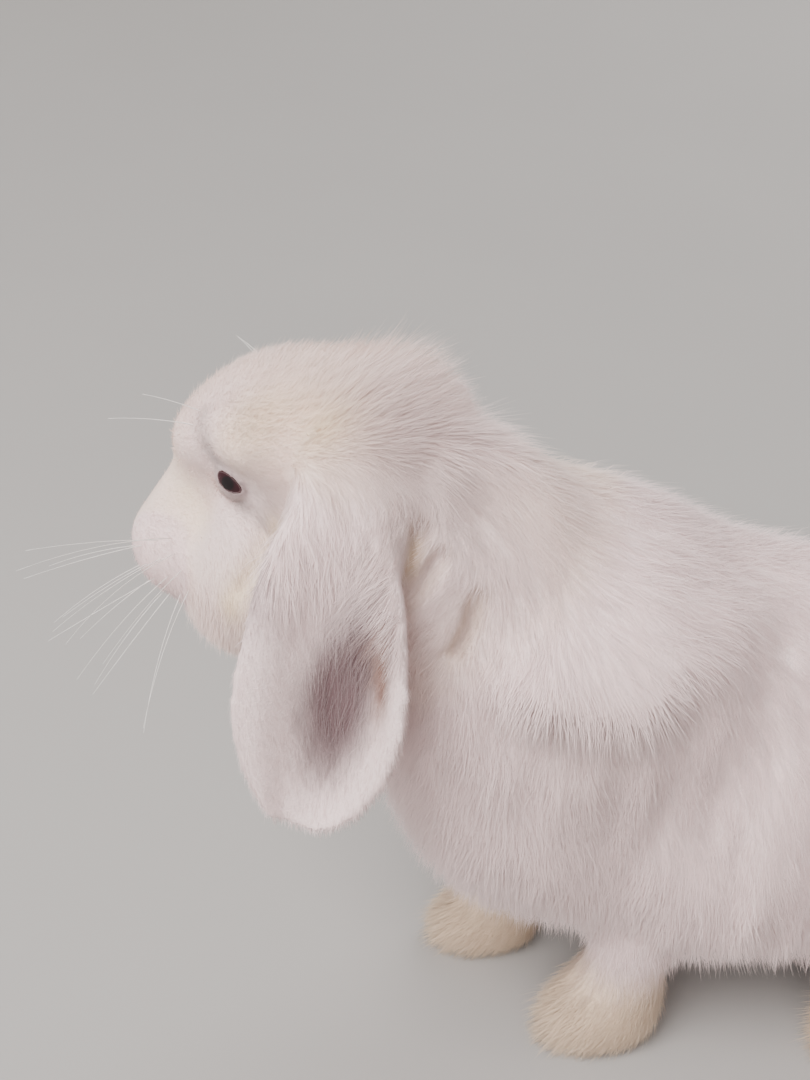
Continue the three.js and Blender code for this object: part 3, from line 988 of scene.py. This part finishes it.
def coat_fields(points, normals, weights):
    """Length, width, lift and density of the coat at each point."""
    table = np.array([COAT[r] for r in REGIONS])
    length, width, density, lift = (weights @ table).T
    places = on_left(points)
    on_head, on_ear = share_of(weights, "head"), share_of(weights, "ear")
    hollow = sum(ear.hollow(points, normals) for ear in EAR_PLACES.values()) * on_ear
    jaw = by_path(places, JAW_FRINGE, 9)
    nape = by_path(places, NAPE_FRINGE, 14)
    under, near_cape = below_cape(points)
    cape = near_cape * ramp(3 * MM, -4 * MM, under)
    toes, low_toes = toe_tufts(points, weights)
    drape = ear_drape(points, normals) * on_ear

    length = length + 2 * on_head * ramp(2 * MM, -34 * MM, places[:, 2])
    length = length - 2.2 * on_head * ramp(5 * MM, 30 * MM, places[:, 2])
    length = length + 5 * jaw + 7 * by_place(places, CHEEK_FRINGE, 14) + 12 * nape + 8 * hollow
    length = (length + 4 * low_toes + 5 * cape) * (1 - 0.5 * parted(points, 6)) + 8 * drape
    lift = lift + 36 * nape + 26 * jaw + 9 * cape + 10 * toes + 4 * drape + 5 * noise(points, 9 * MM, 8)
    width = width - 0.04 * hollow

    hidden = 1 - 0.5 * ramp(-0.5, -0.9, normals[:, 2]) * ramp(60 * MM, 30 * MM, points[:, 2])
    density = density * (1 - 0.55 * hollow) * hidden * (1 - parted(points, 1.3))
    eye, close = eye_share(points), beside_eye(places)
    length = np.where(close, length * (0.4 + 0.6 * ramp(1.2, 2.6, eye)), length)
    bare_nose = (places[:, 2] > 40 * MM) & (nose_share(places[:, 0] / MM, places[:, 1] / MM) < 1.0)
    density = np.where((eye < 1.0) & close | bare_nose, 0, density)
    return np.stack([length * MM, width * MM, np.radians(lift)], axis=1), density


def sow(mesh, density, count, rng):
    """Roots spread over the skin: the corners of the triangle under each, and its place between them."""
    mesh.calc_loop_triangles()
    triangles = read(mesh.loop_triangles, "vertices", 3, np.int32)
    loops = read(mesh.loop_triangles, "loops", 3, np.int32)
    area = read(mesh.loop_triangles, "area", 1).astype(float)
    filled = np.cumsum(area * density[triangles].mean(axis=1))
    at = (np.arange(count) + rng.random(count)) / count * filled[-1]
    chosen = np.minimum(np.searchsorted(filled, at), len(triangles) - 1)
    u, v = np.sqrt(rng.random(count)), rng.random(count)
    shares = np.stack([1 - u, u * (1 - v), u * v], axis=1)
    return triangles[chosen], loops[chosen], shares


def at_roots(values, corners, shares):
    return np.einsum("nk,nkc->nc", shares, values[corners])


def gathered(roots, every, reach):
    """The nearest of every so many roots, towards which a tuft leans, as one lock."""
    centres = roots[::every]
    tree = KDTree(len(centres))
    for i, centre in enumerate(centres):
        tree.insert(centre, i)
    tree.balance()
    nearest = np.array([tree.find(root)[1] for root in roots])
    toward = centres[nearest] - roots
    far = np.linalg.norm(toward, axis=1, keepdims=True)
    return nearest, toward * np.minimum(1, reach / np.maximum(far, 1e-9))


def spike_faces(rings):
    """The faces of a three-sided spike: `rings` rings of three points, and a tip."""
    faces = [(0, 1, 2)]
    for a in range(0, 3 * rings - 3, 3):
        faces += [(a + 3, a + 4, a + 1, a), (a + 4, a + 5, a + 2, a + 1), (a + 5, a + 3, a, a + 2)]
    a, tip = 3 * rings - 3, 3 * rings
    return faces + [(tip, a + 1, a), (tip, a + 2, a + 1), (tip, a, a + 2)]


def spikes(root, normal, start, end, size, lean, rings):
    """Pointed tufts that leave their roots along `start`, end along `end` and lean aside at the tip.

    Returns their points, a normal for each point, and one for the side that faces the skin.
    """
    length, width = size[:, :1], size[:, 1:2]
    across = unit(np.cross(start, normal + 1e-4))
    ridge = np.cross(across, start)
    points = np.empty((len(root), 3 * rings + 1, 3))
    shade = np.empty_like(points)
    soft = np.clip(length / (3.4 * MM), 2.4, 3.2)

    def middle(s):
        return root + length * (s * start + s * s / 2 * (end - start)) + s * s * lean

    for ring in range(rings):
        centre = middle(ring / rings)
        half = width / 2 * (1 - 0.35 * ring / rings)
        for k, own in enumerate((-across, across, ridge)):
            points[:, 3 * ring + k] = centre + half * own
            shade[:, 3 * ring + k] = normal * soft + own
    points[:, -1] = middle(1)
    shade[:, -1] = normal * soft + 0.4 * ridge
    return points, unit(shade), unit(0.3 * normal - ridge)


def tuft_mesh(name, points, shade, inner, patch, colours, tone):
    """One mesh of many tufts, with their colours and a patch of the OFBake map for each."""
    count, each = points.shape[:2]
    rings = each // 3
    faces = spike_faces(rings)
    mesh = bpy.data.meshes.new(name)
    loops = np.concatenate([np.array(face) for face in faces])
    sizes = np.array([len(face) for face in faces])
    mesh.vertices.add(count * each)
    mesh.vertices.foreach_set("co", points.astype(np.float32).ravel())
    mesh.loops.add(count * len(loops))
    corners = (np.arange(count) * each)[:, None] + loops
    mesh.loops.foreach_set("vertex_index", corners.astype(np.int32).ravel())
    mesh.polygons.add(count * len(sizes))
    starts = (np.arange(count) * len(loops))[:, None] + np.concatenate([[0], np.cumsum(sizes)[:-1]])
    mesh.polygons.foreach_set("loop_start", starts.astype(np.int32).ravel())
    mesh.polygons.foreach_set("use_smooth", np.ones(count * len(sizes), bool))
    mesh.update(calc_edges=True)
    to_tip = np.minimum(np.arange(each) // 3, rings) / rings
    aside = np.where(np.arange(each) == 3 * rings, 0, np.arange(each) % 3 - 1) * (1 - to_tip / 2)
    spots = patch[:, None, :] + np.stack([aside, 2 * to_tip - 1], axis=1) * PATCH / 2
    uv = mesh.uv_layers.new(name="OFBake")
    uv.data.foreach_set("uv", spots[:, loops].astype(np.float32).ravel())
    add_colours(mesh, np.repeat(colours, each, axis=0))
    add_values(mesh, "tone", np.repeat(tone, each))
    add_values(mesh, "to_tip", np.tile(to_tip, count))
    faces_skin = np.concatenate([np.full(len(face), all(v % 3 != 2 for v in face)) for face in faces])
    normals = np.where(faces_skin[None, :, None], inner[:, None], shade[:, loops])
    mesh.normals_split_custom_set(normals.reshape(-1, 3).astype(np.float32))
    return mesh


def unwrap(mesh):
    """An unwrap of the skin's own shape, as the map OFBake."""
    obj = new_object("unwrapped", mesh)
    bpy.context.view_layer.objects.active = obj
    obj.select_set(True)
    mesh.uv_layers.new(name="OFBake")
    bpy.ops.object.mode_set(mode="EDIT")
    bpy.ops.mesh.select_all(action="SELECT")
    bpy.ops.uv.smart_project(angle_limit=math.radians(60), island_margin=0.004)
    bpy.ops.object.mode_set(mode="OBJECT")
    bpy.data.objects.remove(obj)
    return read(mesh.uv_layers["OFBake"].data, "uv", 2).astype(float)


def make_coat(skin, weights, material):
    points, normals = points_of(skin), normals_of(skin)
    size, density = coat_fields(points, normals, weights)
    lie = lie_of_coat(points, normals, weights, edges_of(skin))
    colours = markings(points, normals, weights, HAIR_IN_EAR)
    corner_uv = unwrap(skin)
    for seed, (layer, look) in enumerate(LAYERS.items()):
        rng = np.random.default_rng(SEED + seed)
        corners, loops, shares = sow(skin, density, look["tufts"], rng)
        here = [at_roots(v, corners, shares) for v in (points, normals, lie, size, colours)]
        region = weights[corners[:, 0]].argmax(axis=1)
        make_layer(layer, look, here, at_roots(corner_uv, loops, shares), region, material, rng)


def make_layer(layer, look, here, spot, region, material, rng):
    root, normal, lie, size, colours = here
    count = len(root)
    normal, lie = unit(normal), unit(lie)
    lock, toward = gathered(root, look["tufts"] // LOCKS, 5 * MM)
    strand, nearer = gathered(root, TUFTS_IN_STRAND, 2 * MM)
    varied = 0.70 + 0.28 * rng.random(count) + 0.25 * rng.random(count)[lock]
    length = size[:, 0] * look["length"] * varied
    width = size[:, 1] * look["width"] * (0.65 + 0.7 * rng.random(count))
    varied = 0.6 + 0.5 * rng.random(count) + 0.35 * rng.random(count)[lock]
    lift = size[:, 2] * look["lift"] * varied
    outward = np.sum(lie * normal, axis=1, keepdims=True)
    along = unit(lie - np.minimum(outward, 0) * normal)
    turn = YAW * rng.normal(size=count)[lock] * np.clip(length / (8 * MM), 0.3, 1)
    along = unit(along + turn[:, None] * np.cross(normal, along))
    start = unit(along + np.tan(lift)[:, None] * normal + JITTER * rng.normal(size=(count, 3)))
    sag = 0.5 * (length / (20 * MM))[:, None] * WORLD_UP
    end = unit(along + (0.4 * np.tan(lift))[:, None] * normal - sag)
    long_share = np.clip(length / (20 * MM), 0.1, 1)[:, None]
    lean = (0.24 * toward + 0.05 * nearer) * long_share
    sizes = np.stack([length, width], axis=1)
    sunk = root - ROOTED * normal
    shapes, shade, inner = spikes(sunk, normal, start, end, sizes, lean, look["rings"])
    shapes[..., 2] = np.maximum(shapes[..., 2], OFF_FLOOR)
    tone = 0.4 * rng.random(count) + 0.2 * rng.random(count)[strand] + 0.4 * rng.random(count)[lock]

    most = PIECE_TRIANGLES // (6 * look["rings"] - 2)  # tufts in a piece
    for index, name in enumerate(REGIONS):
        own = np.nonzero(region == index)[0]
        own = own[np.argsort(root[own] @ np.array([0.15, 1, 0]))]
        parts = max(1, -(-len(own) // most))
        for part, chosen in enumerate(np.array_split(own, parts)):
            title = f"coat_{name}_{layer}" + (f"_{part + 1}" if parts > 1 else "")
            rows = [values[chosen] for values in (shapes, shade, inner, spot, colours, tone)]
            add_piece(title, tuft_mesh(title, *rows), material)


# ---------------------------------------------------------------- materials


class Shader:
    """A material's node tree, with short calls that add and link nodes."""

    def __init__(self, name, roughness, **settings):
        self.material = bpy.data.materials.new(name)
        self.material.use_nodes = True
        self.tree = self.material.node_tree
        self.surface = self.tree.nodes["Principled BSDF"]
        self.set(self.surface, Roughness=roughness, **settings)

    def set(self, node, **inputs):
        for name, value in inputs.items():
            node.inputs[name.replace("_", " ")].default_value = value
        return node

    def add(self, kind, **settings):
        node = self.tree.nodes.new(kind)
        for name, value in settings.items():
            setattr(node, name, value)
        return node

    def link(self, source, target):
        self.tree.links.new(source, target)

    def attribute(self, name):
        return self.add("ShaderNodeAttribute", attribute_name=name)

    def noise(self, scale, detail=3.0):
        node = self.set(self.add("ShaderNodeTexNoise"), Scale=scale, Detail=detail)
        self.link(self.add("ShaderNodeTexCoord").outputs["Object"], node.inputs["Vector"])
        return node.outputs["Fac"]

    def fit(self, value, low, high):
        """A value from 0 to 1, brought to the range from low to high."""
        node = self.add("ShaderNodeMapRange")
        self.link(value, node.inputs["Value"])
        self.set(node, To_Min=low, To_Max=high)
        return node.outputs["Result"]

    def times(self, colour, value):
        node = self.add("ShaderNodeVectorMath", operation="SCALE")
        self.link(colour, node.inputs[0])
        self.link(value, node.inputs["Scale"])
        return node.outputs["Vector"]

    def mix(self, share, a, b):
        node = self.add("ShaderNodeMix", data_type="RGBA")
        for socket, value in ((node.inputs["Factor"], share), (node.inputs[6], a), (node.inputs[7], b)):
            if isinstance(value, bpy.types.NodeSocket):
                self.link(value, socket)
            else:
                socket.default_value = value
        return node.outputs[2]

    def colour(self, source):
        self.link(source, self.surface.inputs["Base Color"])

    def bump(self, height, distance, strength=0.6):
        node = self.set(self.add("ShaderNodeBump"), Strength=strength, Distance=distance)
        self.link(height, node.inputs["Height"])
        self.link(node.outputs["Normal"], self.surface.inputs["Normal"])


def coat_material():
    made = Shader("fur", 0.85, Sheen_Weight=0.2, Sheen_Roughness=0.6, Specular_IOR_Level=0.25)
    own = made.attribute("coat_colour").outputs["Color"]
    for_tuft = made.fit(made.attribute("tone").outputs["Fac"], 0.86, 1.08)
    # painted shade: each tuft darker towards its root
    painted_root_shade = made.fit(made.attribute("to_tip").outputs["Fac"], 0.95, 1.03)
    for_place = made.fit(made.noise(180), 0.95, 1.05)
    made.colour(made.times(made.times(made.times(own, for_tuft), painted_root_shade), for_place))
    made.bump(made.noise(2600, 2.0), 0.1 * MM, 0.3)
    return made.material


def skin_material():
    made = Shader("skin", 0.9, Specular_IOR_Level=0.2)
    own = made.attribute("coat_colour").outputs["Color"]
    # a random grain, darker on the whole as painted shade between the hairs
    made.colour(made.times(own, made.fit(made.noise(700, 5.0), 0.84, 1.0)))
    made.bump(made.noise(1500, 4.0), 0.4 * MM)
    return made.material


# Colours of the eye by distance from its axis, as a share of its radius: pupil, iris and the rim.
EYE_STOPS = [
    (0.00, (0.003, 0.001, 0.002)),
    (0.20, (0.003, 0.001, 0.002)),
    (0.26, (0.020, 0.003, 0.006)),
    (0.50, (0.034, 0.005, 0.010)),
    (0.60, (0.010, 0.003, 0.005)),
    (0.72, (0.100, 0.045, 0.050)),
]


def eye_material():
    made = Shader("eye", 0.3, Coat_Weight=0.35, Coat_Roughness=0.05, Specular_IOR_Level=0.2)
    aside = made.add("ShaderNodeVectorMath", operation="MULTIPLY")
    made.link(made.add("ShaderNodeTexCoord").outputs["Object"], aside.inputs[0])
    aside.inputs[1].default_value = (1 / EYE_RADIUS, 1 / EYE_RADIUS, 0)
    share = made.add("ShaderNodeVectorMath", operation="LENGTH")
    made.link(aside.outputs["Vector"], share.inputs[0])
    rings = made.add("ShaderNodeValToRGB")
    made.link(share.outputs["Value"], rings.inputs["Fac"])
    stops = rings.color_ramp.elements
    while len(stops) < len(EYE_STOPS):
        stops.new(1.0)
    for stop, (at, colour) in zip(stops, EYE_STOPS):
        stop.position = at
        stop.color = (*colour, 1)
    made.colour(made.times(rings.outputs["Color"], made.fit(made.noise(900, 4.0), 0.7, 1.3)))
    return made.material


# Bare skin and horn: a dark and a pale tone, roughness and how fine the grain is.
BARE_LOOKS = {
    "lid_skin": ((0.035, 0.017, 0.02), (0.10, 0.05, 0.052), 0.55, 1800),
    "nose_leather": ((0.55, 0.30, 0.28), (0.75, 0.48, 0.44), 0.5, 1400),
    "claw_horn": ((0.42, 0.33, 0.28), (0.62, 0.52, 0.45), 0.35, 600),
    "whisker_hair": ((0.75, 0.72, 0.70), (0.85, 0.83, 0.8), 0.5, 900),
}


def bare_material(name):
    """One of the bare looks: two tones in a fine grain, with pores."""
    dark, pale, roughness, scale = BARE_LOOKS[name]
    made = Shader(name, roughness, Coat_Weight=0.2)
    grain = made.noise(scale, 5.0)
    made.colour(made.mix(grain, (*dark, 1), (*pale, 1)))
    made.bump(grain, 0.15 * MM)
    return made.material


# ---------------------------------------------------------------- eyes, lids and nose

CORNEA = {"rise": 0.035, "reach": 0.5}  # shares of the eye's radius, and radians off its axis


def make_eye(node, side, material):
    """An eyeball whose cornea bulges along its Z axis, turned to look out of the head."""
    mesh = bpy.data.meshes.new(node)
    with edited(mesh) as ball:
        bmesh.ops.create_uvsphere(ball, u_segments=64, v_segments=48, radius=EYE_RADIUS)
        for v in ball.verts:
            off_axis = math.acos(max(-1, min(1, v.co.normalized().z)))
            v.co *= 1 + CORNEA["rise"] * math.exp(-((off_axis / CORNEA["reach"]) ** 2))
    shade_smooth(mesh)
    middle, out, ahead, up = eye_axes(side)
    turn = Matrix([ahead, np.cross(out, ahead), out]).transposed().to_4x4()
    add_piece(f"eyeball_{node}", mesh, material, [node], Matrix.Translation(middle) @ turn)


# Round a lid: the share of the way out to the lids' edge, and the height over the eyeball in mm.
LID_PROFILE = [(0.92, -0.8), (0.97, 0.05), (0.99, 0.2), (1.02, 0.3), (1.06, 0.25), (1.12, -0.1),
               (1.3, -0.9), (1.1, -1.2)]  # fmt: skip
LID_STEPS = 72


def make_lids(side, name, material):
    """A rounded rim round the gap between the lids, pointed at its upper and lower end."""
    around = np.linspace(0, 2 * np.pi, LID_STEPS, endpoint=False)
    ahead = OPENING["ahead"] * np.cos(around)
    up = OPENING["up"] * np.sin(around) * np.abs(np.sin(around)) ** 0.25
    rows = [eye_point(side, ahead * share, up * share, np.full(LID_STEPS, EYE_RADIUS + rise * MM))
            for share, rise in LID_PROFILE]  # fmt: skip
    rows.append(rows[0])
    mesh = grid_mesh(name, np.array(rows))
    face_outward(mesh)
    add_piece(name, mesh, material)


NOSE_RINGS = 16
NOSE_STEPS = 64


def face_front(tree, across, up):
    """How far forward the skin lies at places across and up in the head's frame, all in millimetres."""
    ahead = [Vector(from_head([x * MM, y * MM, 90 * MM])) for x, y in zip(across, up)]
    hits = [tree.ray_cast(start, Vector(-HEAD_FORWARD))[0] for start in ahead]
    return in_head(np.array([tuple(hit) for hit in hits]))[:, 2] / MM


def make_nose(skin, material):
    """The leather of the nose, laid on the skin as it was before it was sunk, with two nostrils."""
    tree = tree_of(skin)
    turn = np.linspace(0, 2 * np.pi, NOSE_STEPS, endpoint=False)
    rows = []
    for share in np.linspace(0.02, 1.12, NOSE_RINGS):
        up = NOSE["up"] + share * NOSE["tall"] * np.sin(turn)
        across = share * NOSE["wide"] * np.cos(turn) * (0.8 + 0.2 * share * np.sin(turn))
        front = face_front(tree, across, up) + NOSE["sunk"] * ramp(1.05, 0.8, share)
        slits = near_path(np.stack([np.abs(across), up], axis=1), NOSTRIL)[0]
        parting = hump(across, 0.35) * ramp(NOSE["up"] + 1, NOSE["up"] - 1, up)
        front += NOSE["rise"] * ramp(1.1, 0.8, share) - 1.5 * hump(slits, 0.55) - 0.7 * parting
        rows.append(from_head(np.stack([across, up, front], axis=1) * MM))
    rows.append(rows[-1] - 1.5 * MM * HEAD_FORWARD)
    mesh = grid_mesh("nose_leather", np.array(rows), caps=True)
    face_outward(mesh)
    add_piece("nose_leather", mesh, material, ["nose"])


# ---------------------------------------------------------------- claws

CLAW = {"length": 5.5 * MM, "droop": 0.35, "steps": 10}
CLAW_RADIUS = 0.9 * MM
CLAW_HEIGHT = 4.5 * MM
CLAW_SUNK = 2.5 * MM  # how far its root lies behind the toe's front


def make_claws(skin, material):
    """Pale claws at the toes, mostly hidden in the hair of the feet."""
    tree = tree_of(skin)
    radii = CLAW_RADIUS * np.sqrt(np.linspace(1, 0.02, CLAW["steps"]))
    meshes = []
    for node in FEET:
        low, high = (np.array(corner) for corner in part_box(node))
        for toe in TOES[node.rsplit("_", 1)[0]]:
            x = (low[0] + high[0]) / 2 + 0.88 * toe * (high[0] - low[0]) / 2
            hit = tree.ray_cast(Vector((x, low[1] - 20 * MM, CLAW_HEIGHT)), Vector((0, 1, 0)))[0]
            line = strand_points(np.array(hit) + [0, CLAW_SUNK, 0], (0.1 * toe, -1, -0.1), **CLAW)
            meshes.append(grid_mesh("claw", tube(line, radii, 8), caps=True))
    claws = joined(meshes)
    face_outward(claws)
    add_piece("claws", claws, material)


# ---------------------------------------------------------------- whiskers


def strand_points(root, direction, length, droop, steps, sideways=0.0):
    """A line of points from a root that droops, and bends aside, by shares of its length."""
    direction = unit(np.asarray(direction, float))
    across = unit(np.cross(direction, WORLD_UP))
    s = np.linspace(0, 1, steps)[:, None]
    return root + length * (s * direction + s * s * (-droop * WORLD_UP + sideways * across))


def tube(points, radii, sides=5):
    """Rows of points round a line, from its root to its tip."""
    along = unit(np.gradient(points, axis=0))
    across = unit(np.cross(along, WORLD_UP + 0.01))
    rise = np.cross(across, along)
    angles = np.linspace(0, 2 * np.pi, sides, endpoint=False)
    cos, sin = np.cos(angles)[None, :, None], np.sin(angles)[None, :, None]
    rings = cos * across[:, None] + sin * rise[:, None]
    return points[:, None] + rings * np.asarray(radii)[:, None, None]


WHISKER_STEPS = 12
# Whiskers away from the pads, on the left of the head's frame: root in mm, direction and length in mm.
LONE_WHISKERS = [
    ((19, 15, 4), (0.7, 0.75, 0.5), 24),  # brow
    ((17, 16, 1), (0.5, 0.9, 0.45), 19),
    ((11, -40, 26), (0.5, -0.8, 0.5), 26),  # chin
]


def whisker(side, place, aim, length, rng):
    """A whisker from a place in the head's frame, given for its left, in millimetres."""
    root = from_head(np.array(place) * [side, 1, 1] * MM)
    direction = unit(np.array(aim, float) * [side, 1, 1]) @ HEAD_AXES
    droop, sideways = 0.10 + 0.06 * rng.random(), 0.08 * rng.normal()
    line = strand_points(root, direction, length * MM, droop, WHISKER_STEPS, sideways)
    radii = np.linspace(0.13, 0.04, WHISKER_STEPS) * MM
    return grid_mesh("whisker", tube(line, radii), caps=True)


def make_whiskers(material):
    rng = np.random.default_rng(SEED + 1)
    meshes = []
    for side in (1, -1):
        for row, column in np.ndindex(4, 4):
            place = (14 + 1.6 * column, -8 - 4.2 * row, 44 - 4.2 * column)
            aim = np.array([0.75 + 0.05 * column, 0.42 - 0.24 * row, 0.55 - 0.14 * column])
            aim = aim + 0.08 * rng.normal(size=3) * [side, 1, 1]
            meshes.append(whisker(side, place, aim, 26 + 5 * column + 6 * rng.random(), rng))
        meshes += [whisker(side, *lone, rng) for lone in LONE_WHISKERS]
    add_piece("whiskers", joined(meshes), material, ["whisker_pad_left", "whisker_pad_right"])


# ---------------------------------------------------------------- stage and light

FLOOR_RADIUS = 0.6
SWEEP_RADIUS = 3.2
FLOOR_RINGS = 8
SWEEP_RINGS = 40
STAGE_STEPS = 96
FLOOR_TONES = ((0.35, 0.335, 0.325, 1), (0.38, 0.365, 0.352, 1))
LIT_PLACE = Vector((0, 0, 0.12))  # which the lights face


def make_stage():
    """A pale floor that sweeps up all round into a low wall."""
    profile = [(FLOOR_RADIUS * t, 0) for t in np.linspace(0.05, 1, FLOOR_RINGS)]
    for turn in np.linspace(0, math.pi / 2, SWEEP_RINGS)[1:]:
        away = FLOOR_RADIUS + SWEEP_RADIUS * math.sin(turn)
        profile.append((away, SWEEP_RADIUS * (1 - math.cos(turn))))
    angles = np.linspace(0, 2 * np.pi, STAGE_STEPS, endpoint=False)
    grid = np.array([[(r * math.cos(a), r * math.sin(a), z) for a in angles] for r, z in profile])
    mesh = grid_mesh("floor", grid)
    with edited(mesh) as open_mesh:
        borders = [e for e in open_mesh.edges if e.is_boundary]
        bmesh.ops.holes_fill(open_mesh, edges=borders, sides=2 * STAGE_STEPS)
        caps = [f for f in open_mesh.faces if len(f.verts) == STAGE_STEPS]
        top = [f for f in caps if f.calc_center_median().z > FLOOR_RADIUS]
        bmesh.ops.delete(open_mesh, geom=top, context="FACES")
    floor = new_object("floor", mesh)
    made = Shader("floor", 0.9, Specular_IOR_Level=0.2)
    made.colour(made.mix(made.noise(3.0), *FLOOR_TONES))
    floor.data.materials.append(made.material)


def add_light(name, place, size, power, colour=(1, 1, 1)):
    data = bpy.data.lights.new(name, "AREA")
    data.shape = "DISK"
    data.size = size
    data.energy = power
    data.color = colour
    light = new_object(name, data)
    light.location = place
    light.rotation_mode = "QUATERNION"
    light.rotation_quaternion = (LIT_PLACE - Vector(place)).to_track_quat("-Z", "Y")


def make_lights():
    add_light("key", (0.8, -1.3, 2.0), 1.6, 102, (1.0, 0.97, 0.95))
    add_light("fill", (2.1, -0.9, 0.7), 2.0, 54, (1.0, 0.98, 0.97))
    add_light("rim", (-1.4, 1.4, 1.8), 1.6, 36)
    world = bpy.data.worlds.new("studio")
    world.use_nodes = True
    world.node_tree.nodes["Background"].inputs["Color"].default_value = (1.0, 0.965, 0.945, 1)
    world.node_tree.nodes["Background"].inputs["Strength"].default_value = 0.5
    bpy.context.scene.world = world


# ---------------------------------------------------------------- the model

make_camera()
make_stage()
make_lights()

skin_mesh, skin_weights = make_skin()
add_colours(skin_mesh, markings(points_of(skin_mesh), normals_of(skin_mesh), skin_weights))
make_coat(skin_mesh, skin_weights, coat_material())
FLESH = [n for n in NODES if n not in (*EYES, "nose") and not n.startswith("whisker_pad")]
add_piece("skin", skin_mesh, skin_material(), FLESH)

eye_look, lid_look = eye_material(), bare_material("lid_skin")
for node, side in zip(EYES, (1, -1)):
    make_eye(node, side, eye_look)
    make_lids(side, f"lids_{node}", lid_look)
make_nose(skin_mesh, bare_material("nose_leather"))
make_claws(skin_mesh, bare_material("claw_horn"))
make_whiskers(bare_material("whisker_hair"))
